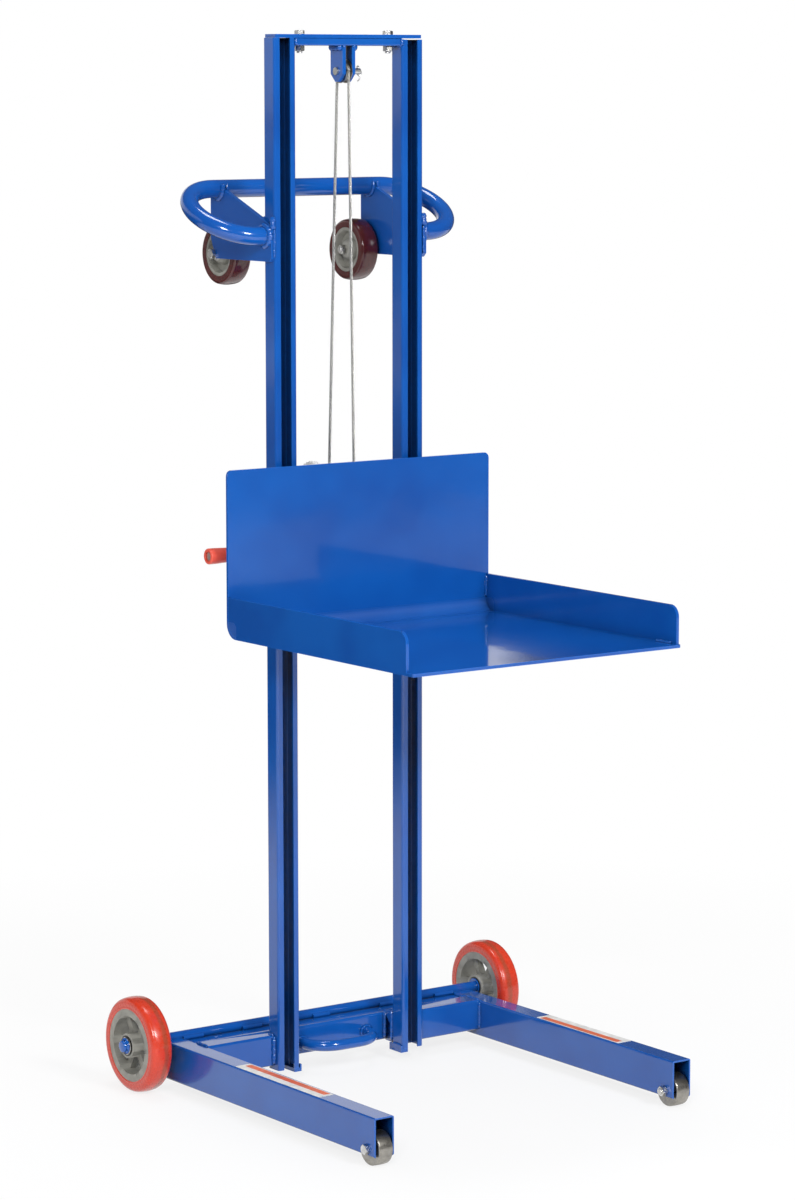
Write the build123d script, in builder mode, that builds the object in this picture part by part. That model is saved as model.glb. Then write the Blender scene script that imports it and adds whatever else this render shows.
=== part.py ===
from build123d import *
from math import acos, atan2, cos, degrees, hypot, pi, radians, sin
import os

os.makedirs("parts", exist_ok=True)

# Light load lift: two channel uprights on a wheeled base, and a tray that a hand winch
# lifts on a wire rope over a sheave at the top.
# Millimetres, +Z up, floor at z = 0, x = 0 midway between the uprights.
# The tray and the legs point to -Y; the winch, the handle and the big wheels are at +Y.

# Overall reach, which sets where the uprights stand between the two ends of the lift
deck_reach = 518.0              # front face of the uprights to the front edge of the deck
upper_axle_back = 166.0         # front face of the uprights to the upper wheel axle
upper_tyre_radius = 50.0
upper_reach = upper_axle_back + upper_tyre_radius
mast_y = (deck_reach - upper_reach) / 2          # front face of the uprights

# Uprights, lipped channels that open to the front
mast_half = 142.75              # mid-plane to the outer face of an upright
channel_width = 41.0
channel_depth = 30.0
channel_wall = 2.7
channel_lip = 10.5
channel_corner = 4.0
mast_bottom = 21.0
mast_top = 1658.3               # left upright, which the top member hangs from
right_upright_short = 1.8       # below the left upright's top
stop_thickness = 3.0            # stops at the feet of the channels' inner flanges
stop_drop = 6.0
stop_overlap = 5.6
stop_depth = 33.0

# Base tubes
leg_half = 303.5                # mid-plane to the outer face of a leg
leg_width = 35.5
leg_height = 60.5
leg_bottom = 16.0
leg_reach = 489.0               # ahead of the uprights' front face
leg_wall = 2.5
leg_corner = 3.0
notch_length = 64.0
cross_depth = 38.1
cross_height = 50.5
rear_tube_height = 46.0
cross_bottom = 27.0
cross_wall = 3.0
cross_corner = 4.0
front_tube_setback = 12.6       # behind the uprights' front face
front_tube_inner = 82.0         # mid-plane to the front tubes' closed inner ends
weld_gap = 0.2

# Foot loop
foot_rod = 18.0
foot_half = 64.0
foot_z = 46.0
foot_gap = 3.0                  # behind the uprights' front face, to the bar's middle
foot_bend = 46.0

# Rear wheels and axle
rear_radius = 76.2
rear_width = 38.0
rear_rim = 58.0
rear_centre = 345.0             # mid-plane to the middle of the tyre
rear_hub_length = 44.0
rear_crown = 62.0               # radius of the tread's section
rear_shoulder = 5.0
rear_rim_wall = 11.5
rear_rim_inset = 1.0            # rim's faces inside the tyre's
rear_boss = 20.0
rear_web = 12.0                 # half the spokes' thickness, and their width
rear_spokes = 6
spoke_overlap = 2.0
axle_radius = 9.5
axle_chamfer = 1.0
bearing_radius = 16.5
bearing_inset = 0.5
running_gap = 0.05
washer_thickness = 2.0
washer_radius = 14.0
cap_radius = 10.6
cap_length = 8.0
cap_round = 2.5
cap_rim = 1.8
stitch_radius = 4.2             # weld beads that hold the axle
stitch_welds = ((-249.0, 37.0), (-136.0, 36.0), (0.0, 32.0), (136.0, 36.0), (249.0, 37.0))

# Front rollers
roller_radius = 26.0
roller_width = 25.0
roller_back = 20.0              # leg's front end to the roller's axle
roller_crown = 150.0
roller_edge = 2.0
roller_boss_wall = 4.0
side_play = 0.3

# Hexagon bolts, all of one thread size
bolt_radius = 4.75
bolt_flats = 14.3
head_height = 6.2
nut_height = 8.4
bolt_tip = 3.0
bolt_hole_gap = 0.15

# Top cross member, set by the uprights' top
cap_gap = 0.2                   # left upright's top to the cap plate
top_tube_height = 12.0
top_tube_wall = 2.5
cap_thickness = 5.5
cap_inset = 3.2                 # short of the uprights' outer faces
top_bolt_x = 84.5

# Sheave in its ears
sheave_pitch = 15.4
sheave_radius = 18.5
sheave_width = 11.0
sheave_back = 18.0              # behind the uprights' front face
sheave_drop = 39.5              # top tube's underside to the sheave's pin
sheave_edge = 1.0               # flat rim beside the groove
ear_gap = 12.3
ear_thickness = 6.0
ear_width = 33.0
ear_chamfer = 12.5
pin_radius = 4.75
pin_head_radius = 6.0
pin_head = 3.0
pin_end = 19.5                  # past the right ear
cotter_setout = 15.5            # right ear to the cotter
cotter_radius = 1.0
cotter_eye = 2.2                # radius of the eye's wire path
cotter_bend = 5.0
cotter_hook = 70.0              # degrees that the right leg is hooked
cotter_spread = 30.0            # degrees between the legs where they part
cotter_curl = 50.0              # degrees that the left leg curls

# Wire rope
rope_radius = 2.4
rope_gap = 0.3

# Push handle, bent in a plane that falls towards the front
handle_radius = 14.3
handle_wall = 2.6
handle_back = 150.0             # behind the uprights' front face
handle_z = 1423.0
handle_front_back = 18.0
handle_front_z = 1353.0
handle_bend_x = 160.0
handle_seat_gap = 0.2

# Upper wheel brackets
bracket_thickness = 6.35
bracket_bottom = 1313.0
bracket_back = 172.0
bracket_front_top = 1369.0
bracket_shoulder_z = 1345.0
bracket_heel_back = 158.0
bracket_toe = 6.0
upper_axle_z = 1320.0
upper_width = 32.0
upper_rim = 36.0
upper_hub_length = 34.0
upper_crown = 60.0
upper_shoulder = 4.5
upper_rim_wall = 5.0
upper_rim_inset = 1.0
upper_boss = 14.0
upper_boss_step = 3.0
upper_web = 7.0                 # half the web's thickness
upper_web_flare = 4.0
upper_washer = 1.75

# Tray: one sheet bent up at the back, with two side lips that stand on it
tray_half = 253.0
tray_back = 29.5                # front face of the back plate, ahead of the uprights
plate_thickness = 4.8
tray_bottom = 733.7
tray_bend = 24.0                # outer radius where the sheet turns up
back_plate_height = 262.0
back_plate_corner = 9.0
deck_corner = 4.0
lip_height = 59.7
lip_front_radius = 18.0
left_lip_setback = 18.5         # behind the deck's front edge
right_lip_setback = 6.0

# Carriage behind the tray
carriage_plate = 5.0
carriage_bottom = 10.0          # above the tray's underside
lower_axle_rise = 25.0
upper_axle_rise = 165.0
carriage_head = 16.0
carriage_inset = 2.0            # carriage plates inside the guide rollers' rims
guide_radius = 11.0
guide_width = 12.0
guide_gap = 0.3
guide_pin = 4.0
guide_pin_head = 1.2
guide_pin_head_radius = 6.0
crossbar_thickness = 5.0
crossbar_height = 28.0

# Rope end on the carriage
anchor_rise = 60.0
anchor_setout = 12.5            # ahead of the uprights' front face
anchor_bolt_radius = 4.0
anchor_head_radius = 9.6
anchor_head = 3.0
anchor_head_gap = 0.5           # bolt's head to the rope's eye
thimble_inner = 7.0
thimble_band = 2.4
thimble_lean = 20.0             # degrees above level where the eye's sides begin
sleeve_rise = 30.0
sleeve_height = 17.0
sleeve_width = 13.6
sleeve_radius = 4.6
sleeve_round = 1.2

# Winch
mount_half = 135.0
mount_thickness = 6.0
mount_bottom = 862.0
mount_top = 974.0
mount_corner = 6.0
winch_left = -20.0
winch_right = 53.0
winch_plate = 3.0
winch_z = 940.5                 # drum's axis
drum_back = 88.0                # behind the uprights' front face
pinion_angle = -70.0            # from the drum's axis to the crank shaft, from level
cheek_round = 18.0
base_top = 966.0
base_bottom = 868.0
winch_bolt_x = (8.0, 40.0)
winch_bolt_z = (880.0, 956.0)
drum_radius = 24.7
winding_turns = 7
wrap_turn = 270.0               # degrees of the paying-out turn that lie on the drum
flange_radius = 41.0
flange_thickness = 2.5
drum_play = 3.5
hub_radius = 10.5
drum_pin = 6.35
pin_rim = 3.0                   # heads of the winch's pins, past their shanks
gear_module = 2.5
gear_teeth = 36
pinion_teeth = 10
gear_width = 5.0
pinion_width = 9.0
gear_window = 6.5
gear_window_ring = 27.0
gear_windows = 5
pressure_angle = 20.0
addendum_share = 0.8
dedendum_share = 1.15
tooth_backlash = 0.35
shaft_radius = 7.0
shaft_tail = 3.0
collar_radius = 10.5
collar_width = 6.0
support_x = -125.0              # outboard plate that steadies the crank shaft
support_thickness = 5.0

# Crank, with its arm outside the left upright
crank_plane = 145.5             # mid-plane to the arm's inner face
crank_thickness = 6.0
crank_length = 100.0
crank_width = 22.0
crank_fall = 16.0               # degrees that the arm hangs below level at rest
crank_nut = 6.0
crank_nut_radius = 10.0
grip_radius = 12.5
grip_length = 112.0
grip_pin = 4.75
grip_edge = 2.0                 # rounding of the grip's ends
grip_shoulder = 12.0            # end band before the waist
grip_waist = 1.2
grip_well = 6.0                 # pocket for the grip bolt's head
grip_well_wall = 3.0
grip_head = 3.5
grip_head_rim = 2.0

# Ratchet on the crank shaft
ratchet_teeth = 12
ratchet_tip = 20.0
ratchet_root = 15.5
ratchet_width = 5.0
ratchet_gap = 1.0
ratchet_phase = 85.7
pawl_back = 27.0                # pivot, ahead of the shaft
pawl_rise = 22.0
pawl_pin = 3.0
pawl_eye = 6.5
pawl_nose = 4.0                 # width of the nose
pawl_lift_gap = 0.3             # ratchet's tips to the lifted nose

# Places worked out from the sizes above
front_tube_front = mast_y + front_tube_setback
rear_tube_front = front_tube_front + cross_depth
base_rear = rear_tube_front + cross_depth
leg_front = mast_y - leg_reach
leg_inner = leg_half - leg_width
leg_centre = leg_half - leg_width / 2
channel_centre = mast_half - channel_width / 2
mast_inner = mast_half - channel_width
mast_rear = mast_y + channel_depth
axle_y = base_rear + axle_radius + weld_gap / 2
axle_z = rear_radius
roller_y = leg_front + roller_back
roller_z = roller_radius
top_tube_top = mast_top + cap_gap
top_tube_bottom = top_tube_top - top_tube_height
cap_top = top_tube_top + cap_thickness
sheave_y = mast_y + sheave_back
sheave_z = top_tube_bottom - sheave_drop
drum_y = mast_y + drum_back
gear_pitch = gear_module * gear_teeth / 2
pinion_pitch = gear_module * pinion_teeth / 2
shaft_y = drum_y + (gear_pitch + pinion_pitch) * cos(radians(pinion_angle))
shaft_z = winch_z + (gear_pitch + pinion_pitch) * sin(radians(pinion_angle))
winding_radius = drum_radius + rope_gap + rope_radius
tray_front = mast_y - tray_back
plate_rear = tray_front + plate_thickness
deck_front = mast_y - deck_reach
deck_top = tray_bottom + plate_thickness
bend_y = plate_rear - tray_bend
bend_z = tray_bottom + tray_bend
lower_axle_z = tray_bottom + lower_axle_rise
upper_guide_z = tray_bottom + upper_axle_rise
inner_front = mast_y + channel_wall
inner_rear = mast_rear - channel_wall
upper_guide_y = inner_front + guide_radius + guide_gap
lower_guide_y = inner_rear - guide_radius - guide_gap
upper_y = mast_y + upper_axle_back
bracket_outer = mast_half + bracket_thickness


def save(piece, name):
    """Label a finished piece and write it."""
    piece.part.label = name
    export_step(piece.part, f"parts/{name}.step")


def facing_front(y):
    """Plane across the lift at y, whose normal points to the front."""
    return Plane(origin=(0, y, 0), x_dir=(1, 0, 0), z_dir=(0, -1, 0))


def facing_side(x, side=1):
    """Plane along the lift at x, whose normal points to one side."""
    return Plane(origin=(x, 0, 0), x_dir=(0, side, 0), z_dir=(side, 0, 0))


def turned(x, y, z):
    """Half-section plane for a piece turned about an axle along X."""
    return Plane(origin=(x, y, z), x_dir=(1, 0, 0), z_dir=(0, -1, 0))


def hex_bolt(seat, grip):
    """Bolt with its head on the seat plane, and a nut at the far side of the grip."""
    with BuildPart() as bolt:
        with BuildSketch(seat):
            RegularPolygon(bolt_flats / 2, 6, major_radius=False)
        extrude(amount=head_height)
        with BuildSketch(seat):
            Circle(bolt_radius)
        extrude(amount=-(grip + nut_height + bolt_tip))
        with BuildSketch(seat.offset(-grip)):
            RegularPolygon(bolt_flats / 2, 6, major_radius=False)
        extrude(amount=-nut_height)
    return bolt.part


def tyre_section(radius, rim, width, crown, shoulder):
    """Half section of a tyre with a crowned tread, its axle along local X."""
    with BuildSketch() as section:
        with Locations((0, (radius + rim) / 2)):
            Rectangle(width, radius - rim)
        with Locations((0, radius - crown)):
            Circle(crown, mode=Mode.INTERSECT)
        fillet(section.vertices().group_by(Axis.Y)[-1], shoulder)
    return section.sketch


def involute_points(teeth, backlash):
    """Corner points of one tooth, centred on angle 0, from root to tip and back."""
    pitch = gear_module * teeth / 2
    base = pitch * cos(radians(pressure_angle))
    tip = pitch + gear_module * addendum_share
    root = pitch - gear_module * dedendum_share
    half = (pi * gear_module / 2 - backlash) / (2 * pitch)

    def roll(radius):
        """Involute angle at a radius outside the base circle."""
        turn = acos(min(1.0, base / radius))
        return sin(turn) / cos(turn) - turn

    start = max(root, base)
    radii = [root] if root < base else []
    radii += [start + (tip - start) * step / 3 for step in range(4)]
    side = []
    for radius in radii:
        side.append((radius, half + roll(pitch) - roll(max(radius, base))))
    return [(r, -a) for r, a in side] + [(r, a) for r, a in reversed(side)]


def gear_outline(teeth, phase, backlash=tooth_backlash):
    """Closed list of points round a spur gear, phase in degrees."""
    points = []
    for tooth in range(teeth):
        middle = radians(phase + 360 / teeth * tooth)
        for radius, angle in involute_points(teeth, backlash):
            points.append((radius * cos(middle + angle), radius * sin(middle + angle)))
    return points


# Legs: rectangular tubes, open at the front, their floor cut away for the roller
for side, name in ((-1, "left_leg"), (1, "right_leg")):
    with BuildPart() as leg:
        with BuildSketch(facing_front(base_rear)):
            with Locations((side * leg_centre, leg_bottom + leg_height / 2)):
                RectangleRounded(leg_width, leg_height, leg_corner)
                RectangleRounded(leg_width - 2 * leg_wall, leg_height - 2 * leg_wall,
                                 leg_corner - leg_wall, mode=Mode.SUBTRACT)
        extrude(amount=base_rear - leg_front)
        with BuildSketch(facing_front(leg_front + notch_length)):
            with Locations((side * leg_centre, leg_bottom + leg_corner / 2)):
                Rectangle(leg_width - 2 * leg_wall, leg_corner)
        extrude(amount=notch_length, mode=Mode.SUBTRACT)
        with BuildSketch(facing_side(side * leg_centre)):
            with Locations((roller_y, roller_z)):
                Circle(bolt_radius + bolt_hole_gap)
        extrude(amount=leg_width, both=True, mode=Mode.SUBTRACT)
    save(leg, name)

# Rear cross tube between the legs
with BuildPart() as rear_cross_tube:
    with BuildSketch(facing_side(-leg_inner)):
        with Locations((rear_tube_front + cross_depth / 2, cross_bottom + rear_tube_height / 2)):
            RectangleRounded(cross_depth, rear_tube_height, cross_corner)
            RectangleRounded(cross_depth - 2 * cross_wall, rear_tube_height - 2 * cross_wall,
                             cross_corner - cross_wall, mode=Mode.SUBTRACT)
    extrude(amount=2 * leg_inner)
save(rear_cross_tube, "rear_cross_tube")

# Front tubes, from each leg past its upright, notched to reach round behind it
for side, name in ((-1, "left_front_tube"), (1, "right_front_tube")):
    tube_middle = (side * (front_tube_front + cross_depth / 2), cross_bottom + cross_height / 2)
    with BuildPart() as front_tube:
        with BuildSketch(facing_side(side * front_tube_inner, side)):
            with Locations(tube_middle):
                RectangleRounded(cross_depth, cross_height, cross_corner)
                RectangleRounded(cross_depth - 2 * cross_wall, cross_height - 2 * cross_wall,
                                 cross_corner - cross_wall, mode=Mode.SUBTRACT)
        extrude(amount=leg_inner - front_tube_inner)
        with BuildSketch(facing_side(side * front_tube_inner, side)):
            with Locations(tube_middle):
                RectangleRounded(cross_depth, cross_height, cross_corner)
        extrude(amount=cross_wall)
        with BuildSketch(Plane.XY.offset(mast_bottom)):
            with Locations((side * channel_centre, mast_y + channel_depth / 2)):
                Rectangle(channel_width + 2 * weld_gap, channel_depth + 2 * weld_gap)
        extrude(amount=cross_bottom + cross_height, mode=Mode.SUBTRACT)
    save(front_tube, name)

# Foot loop: a round bar bent to a D, its ends butted against the rear cross tube
with BuildPart() as foot_loop:
    bar_y = mast_y + foot_gap
    with BuildLine(Plane.XY.offset(foot_z)) as foot_path:
        FilletPolyline((-foot_half, rear_tube_front), (-foot_half, bar_y), (foot_half, bar_y),
                       (foot_half, rear_tube_front), radius=foot_bend)
    with BuildSketch(Plane(origin=(-foot_half, rear_tube_front, foot_z), z_dir=(0, -1, 0))):
        Circle(foot_rod / 2)
    sweep(path=foot_path.line)
save(foot_loop, "foot_loop")

# Uprights
for side, name, short in ((-1, "left_upright", 0.0), (1, "right_upright", right_upright_short)):
    with BuildPart() as upright:
        with BuildSketch(Plane.XY.offset(mast_bottom)):
            with Locations((side * channel_centre, mast_y + channel_depth / 2)):
                RectangleRounded(channel_width, channel_depth, channel_corner)
                RectangleRounded(channel_width - 2 * channel_wall, channel_depth - 2 * channel_wall,
                                 channel_corner - channel_wall, mode=Mode.SUBTRACT)
            with Locations((side * channel_centre, mast_y)):
                Rectangle(channel_width - 2 * channel_lip, 2 * channel_wall + channel_corner,
                          mode=Mode.SUBTRACT)
        extrude(amount=mast_top - short - mast_bottom)
    save(upright, name)

# Stops at the feet of the channels: a foot under each inner lip, turned up beside the flange
stop_bottom = mast_bottom - stop_drop
with BuildPart() as channel_stops:
    for side in (-1, 1):
        with BuildSketch(facing_front(mast_y)):
            with BuildLine():
                Polyline((side * (mast_inner - stop_thickness), stop_bottom),
                         (side * (mast_inner + channel_lip), stop_bottom),
                         (side * (mast_inner + channel_lip), mast_bottom),
                         (side * mast_inner, mast_bottom),
                         (side * mast_inner, mast_bottom + stop_overlap),
                         (side * (mast_inner - stop_thickness), mast_bottom + stop_overlap),
                         close=True)
            make_face()
        extrude(amount=-stop_depth)
save(channel_stops, "channel_stops")

# Top cross tube between the uprights, drilled for the cap bolts
with BuildPart() as top_cross_tube:
    with BuildSketch(facing_side(-mast_inner)):
        with Locations((mast_y + channel_depth / 2, top_tube_bottom + top_tube_height / 2)):
            RectangleRounded(channel_depth, top_tube_height, top_tube_wall)
            Rectangle(channel_depth - 2 * top_tube_wall, top_tube_height - 2 * top_tube_wall,
                      mode=Mode.SUBTRACT)
    extrude(amount=2 * mast_inner)
    with BuildSketch(Plane.XY.offset(top_tube_bottom)):
        with Locations((-top_bolt_x, mast_y + channel_depth / 2),
                       (top_bolt_x, mast_y + channel_depth / 2)):
            Circle(bolt_radius + bolt_hole_gap)
    extrude(amount=top_tube_height, mode=Mode.SUBTRACT)
save(top_cross_tube, "top_cross_tube")

# Cap plate that covers both uprights
with BuildPart() as top_cap_plate:
    with BuildSketch(Plane.XY.offset(top_tube_top)):
        with Locations((0, mast_y + channel_depth / 2)):
            RectangleRounded(2 * (mast_half - cap_inset), channel_depth, cap_inset / 2)
        with Locations((-top_bolt_x, mast_y + channel_depth / 2),
                       (top_bolt_x, mast_y + channel_depth / 2)):
            Circle(bolt_radius + bolt_hole_gap, mode=Mode.SUBTRACT)
    extrude(amount=cap_thickness)
save(top_cap_plate, "top_cap_plate")

# Ears that hang from the cross tube and carry the sheave's pin
ear_bottom = sheave_z - ear_width / 2
with BuildPart() as sheave_ears:
    for side in (-1, 1):
        with BuildSketch(facing_side(side * ear_gap / 2)):
            with BuildLine():
                Polyline((sheave_y - ear_width / 2, top_tube_bottom),
                         (sheave_y - ear_width / 2, ear_bottom + ear_chamfer),
                         (sheave_y - ear_width / 2 + ear_chamfer, ear_bottom),
                         (sheave_y + ear_width / 2 - ear_chamfer, ear_bottom),
                         (sheave_y + ear_width / 2, ear_bottom + ear_chamfer),
                         (sheave_y + ear_width / 2, top_tube_bottom), close=True)
            make_face()
            with Locations((sheave_y, sheave_z)):
                Circle(pin_radius + running_gap, mode=Mode.SUBTRACT)
        extrude(amount=side * ear_thickness)
save(sheave_ears, "sheave_ears")

# Headed pin through the ears, with a cross hole for the cotter
pin_left = -(ear_gap / 2 + ear_thickness)
cotter_x = ear_gap / 2 + ear_thickness + cotter_setout
with BuildPart() as sheave_pin:
    with BuildSketch(facing_side(pin_left)):
        with Locations((sheave_y, sheave_z)):
            Circle(pin_head_radius)
    extrude(amount=-pin_head)
    with BuildSketch(facing_side(pin_left)):
        with Locations((sheave_y, sheave_z)):
            Circle(pin_radius)
    extrude(amount=-2 * pin_left + pin_end)
    with BuildSketch(Plane.XY.offset(sheave_z)):
        with Locations((cotter_x, sheave_y)):
            Circle(cotter_radius + running_gap)
    extrude(amount=2 * pin_radius, both=True, mode=Mode.SUBTRACT)
save(sheave_pin, "sheave_pin")

# Cotter: one wire with an eye above the pin and a hooked leg below it, and a second leg
eye_z = sheave_z + pin_radius + 2 * cotter_radius + cotter_eye
legs_z = sheave_z - pin_radius - 2 * cotter_radius
spread = radians(cotter_spread)
with BuildPart() as cotter_pin:
    with BuildLine(facing_front(sheave_y)) as cotter_path:
        CenterArc((cotter_x + cotter_eye, eye_z), cotter_eye, -90, 270)
        Line((cotter_x, eye_z), (cotter_x, legs_z))
        CenterArc((cotter_x + cotter_bend, legs_z), cotter_bend, 180, cotter_hook)
    with BuildSketch(Plane(origin=cotter_path.line @ 0, z_dir=cotter_path.line % 0)):
        Circle(cotter_radius)
    sweep(path=cotter_path.line)
    with BuildLine(facing_front(sheave_y)) as leg_path:
        CenterArc((cotter_x - cotter_bend * cos(spread), legs_z + cotter_bend * sin(spread)),
                  cotter_bend, -cotter_spread, -cotter_curl)
    with BuildSketch(Plane(origin=leg_path.line @ 0, z_dir=leg_path.line % 0)):
        Circle(cotter_radius)
    sweep(path=leg_path.line)
save(cotter_pin, "cotter_pin")

# Sheave, grooved for the rope
with BuildPart() as sheave:
    groove_floor = sheave_pitch - rope_radius - rope_gap
    groove_half = sheave_width / 2 - sheave_edge
    with BuildSketch(turned(0, sheave_y, sheave_z)):
        with BuildLine():
            Polyline((-sheave_width / 2, pin_radius + running_gap), (-sheave_width / 2, sheave_radius),
                     (-groove_half, sheave_radius))
            ThreePointArc((-groove_half, sheave_radius), (0, groove_floor), (groove_half, sheave_radius))
            Polyline((groove_half, sheave_radius), (sheave_width / 2, sheave_radius),
                     (sheave_width / 2, pin_radius + running_gap),
                     (-sheave_width / 2, pin_radius + running_gap))
        make_face()
    revolve(axis=Axis((0, sheave_y, sheave_z), (1, 0, 0)))
save(sheave, "sheave")


# Rope from its turn round the drum, up behind and over the sheave, to the sheave's front
def cross_tangent(first, first_radius, second, second_radius):
    """Points where a line touches the rear of the upper circle and the front of the lower."""
    dy = second[0] - first[0]
    dz = second[1] - first[1]
    span = hypot(dy, dz)
    lean = acos((first_radius + second_radius) / span)
    heading = atan2(dz, dy)
    out = (cos(heading + lean), sin(heading + lean))
    top = (first[0] + first_radius * out[0], first[1] + first_radius * out[1])
    low = (second[0] - second_radius * out[0], second[1] - second_radius * out[1])
    return top, low


def front_tangent(centre, radius, point):
    """Point where a line from below touches the front of a circle."""
    dy = point[0] - centre[0]
    dz = point[1] - centre[1]
    span = hypot(dy, dz)
    angle = atan2(dz, dy) - acos(radius / span)
    return centre[0] + radius * cos(angle), centre[1] + radius * sin(angle)


anchor_y = mast_y - anchor_setout
anchor_z = tray_bottom + anchor_rise
sleeve_z = anchor_z + sleeve_rise
rear_top, rear_low = cross_tangent((sheave_y, sheave_z), sheave_pitch, (drum_y, winch_z), winding_radius)
front_top = front_tangent((sheave_y, sheave_z), sheave_pitch, (anchor_y, sleeve_z + sleeve_height))
wrap_start = degrees(atan2(rear_low[1] - winch_z, rear_low[0] - drum_y))
with BuildPart() as lifting_rope:
    with BuildLine(facing_side(0)) as rear_path:
        CenterArc((drum_y, winch_z), winding_radius, wrap_start, wrap_turn)
        Line(rear_low, rear_top)
        ThreePointArc(rear_top, (sheave_y, sheave_z + sheave_pitch), front_top)
    with BuildSketch(Plane(origin=(0, *rear_top), z_dir=(0, rear_top[0] - rear_low[0],
                                                        rear_top[1] - rear_low[1]))):
        Circle(rope_radius)
    sweep(path=rear_path.line)
save(lifting_rope, "lifting_rope")

rope_foot = (anchor_y, sleeve_z + sleeve_height + rope_gap)
with BuildPart() as rope_front_run:
    with BuildSketch(Plane(origin=(0, *rope_foot), z_dir=(0, front_top[0] - rope_foot[0],
                                                         front_top[1] - rope_foot[1]))):
        Circle(rope_radius)
    extrude(amount=hypot(front_top[0] - rope_foot[0], front_top[1] - rope_foot[1]))
save(rope_front_run, "rope_front_run")

# Rope end: an oval sleeve on the rope and its tail, and the rope's eye round a thimble
eye_radius = thimble_inner + thimble_band + 2 * rope_radius
eye_shoulder = (eye_radius * cos(radians(thimble_lean)),
                anchor_z + eye_radius * sin(radians(thimble_lean)))
with BuildPart() as rope_end:
    with BuildSketch(Plane.XY.offset(sleeve_z)):
        with Locations((0, anchor_y)):
            SlotOverall(sleeve_width, 2 * sleeve_radius)
    extrude(amount=sleeve_height)
    fillet(rope_end.edges().group_by(Axis.Z)[-1], sleeve_round)
    with BuildSketch(facing_front(anchor_y + rope_radius)):
        with Locations((0, anchor_z)):
            Circle(eye_radius)
        with BuildLine():
            Polyline((-eye_shoulder[0], eye_shoulder[1]), (-2 * rope_radius, sleeve_z),
                     (2 * rope_radius, sleeve_z), eye_shoulder, close=True)
        make_face()
        with Locations((0, anchor_z)):
            Circle(thimble_inner, mode=Mode.SUBTRACT)
    extrude(amount=2 * rope_radius)
save(rope_end, "rope_end")

# Push handle: one tube, straight across the back, with a bent loop at each end
handle_rise = handle_z - handle_front_z
handle_run = handle_back - handle_front_back
loop_radius = hypot(handle_rise, handle_run) / 2
handle_mid = (mast_y + (handle_back + handle_front_back) / 2, (handle_z + handle_front_z) / 2)
handle_plane = Plane(origin=(0, *handle_mid), x_dir=(1, 0, 0), z_dir=(0, -handle_rise, handle_run))
with BuildPart() as push_handle:
    with BuildLine(handle_plane) as handle_path:
        Line((-bracket_outer, -loop_radius), (-handle_bend_x, -loop_radius))
        ThreePointArc((-handle_bend_x, -loop_radius), (-handle_bend_x - loop_radius, 0),
                      (-handle_bend_x, loop_radius))
        Line((-handle_bend_x, loop_radius), (handle_bend_x, loop_radius))
        ThreePointArc((handle_bend_x, loop_radius), (handle_bend_x + loop_radius, 0),
                      (handle_bend_x, -loop_radius))
        Line((handle_bend_x, -loop_radius), (bracket_outer, -loop_radius))
    with BuildSketch(Plane(origin=handle_path.line @ 0, z_dir=(-1, 0, 0))):
        Circle(handle_radius)
        Circle(handle_radius - handle_wall, mode=Mode.SUBTRACT)
    sweep(path=handle_path.line)
save(push_handle, "push_handle")

# Bracket plates on the uprights' outer faces, which hold the handle and the upper wheels
for side, name in ((-1, "left_wheel_bracket"), (1, "right_wheel_bracket")):
    with BuildPart() as bracket:
        with BuildSketch(facing_side(side * mast_half)):
            with BuildLine():
                Polyline((mast_y, bracket_bottom + bracket_toe), (mast_y + bracket_toe, bracket_bottom),
                         (mast_y + bracket_heel_back, bracket_bottom),
                         (mast_y + bracket_back, bracket_shoulder_z),
                         (mast_y + bracket_back, handle_z - handle_radius),
                         (mast_y + handle_back, handle_z),
                         (mast_y + handle_back - handle_radius, handle_z),
                         (mast_y, bracket_front_top), close=True)
            make_face()
            with Locations((mast_y + handle_back, handle_z)):
                Circle(handle_radius + handle_seat_gap, mode=Mode.SUBTRACT)
            with Locations((upper_y, upper_axle_z)):
                Circle(bolt_radius + bolt_hole_gap, mode=Mode.SUBTRACT)
        extrude(amount=side * bracket_thickness)
    save(bracket, name)


# Rear wheels: tyre, spoked hub and bearing sleeve, turning on the axle
spoke_length = rear_rim - rear_rim_wall - rear_boss + 2 * spoke_overlap
for side, name in ((-1, "left_rear"), (1, "right_rear")):
    x = side * rear_centre
    wheel_plane = Plane(origin=(x, axle_y, axle_z), x_dir=(0, 1, 0), z_dir=(1, 0, 0))
    with BuildPart() as tyre:
        with BuildSketch(turned(x, axle_y, axle_z)):
            add(tyre_section(rear_radius, rear_rim, rear_width, rear_crown, rear_shoulder))
        revolve(axis=Axis((x, axle_y, axle_z), (1, 0, 0)))
    save(tyre, f"{name}_tyre")
    with BuildPart() as hub:
        with BuildSketch(wheel_plane):
            Circle(rear_rim)
            Circle(rear_rim - rear_rim_wall, mode=Mode.SUBTRACT)
        extrude(amount=rear_width / 2 - rear_rim_inset, both=True)
        with BuildSketch(wheel_plane):
            Circle(rear_boss)
            with PolarLocations((rear_boss + rear_rim - rear_rim_wall) / 2, rear_spokes):
                Rectangle(spoke_length, rear_web)
        extrude(amount=rear_web, both=True)
        with BuildSketch(wheel_plane):
            Circle(rear_boss)
        extrude(amount=rear_hub_length / 2, both=True)
        with BuildSketch(wheel_plane):
            Circle(bearing_radius)
        extrude(amount=rear_hub_length, both=True, mode=Mode.SUBTRACT)
    save(hub, f"{name}_hub")
    with BuildPart() as bearing:
        with BuildSketch(wheel_plane):
            Circle(bearing_radius)
            Circle(axle_radius + running_gap, mode=Mode.SUBTRACT)
        extrude(amount=rear_hub_length / 2 - bearing_inset, both=True)
    save(bearing, f"{name}_bearing")

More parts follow.
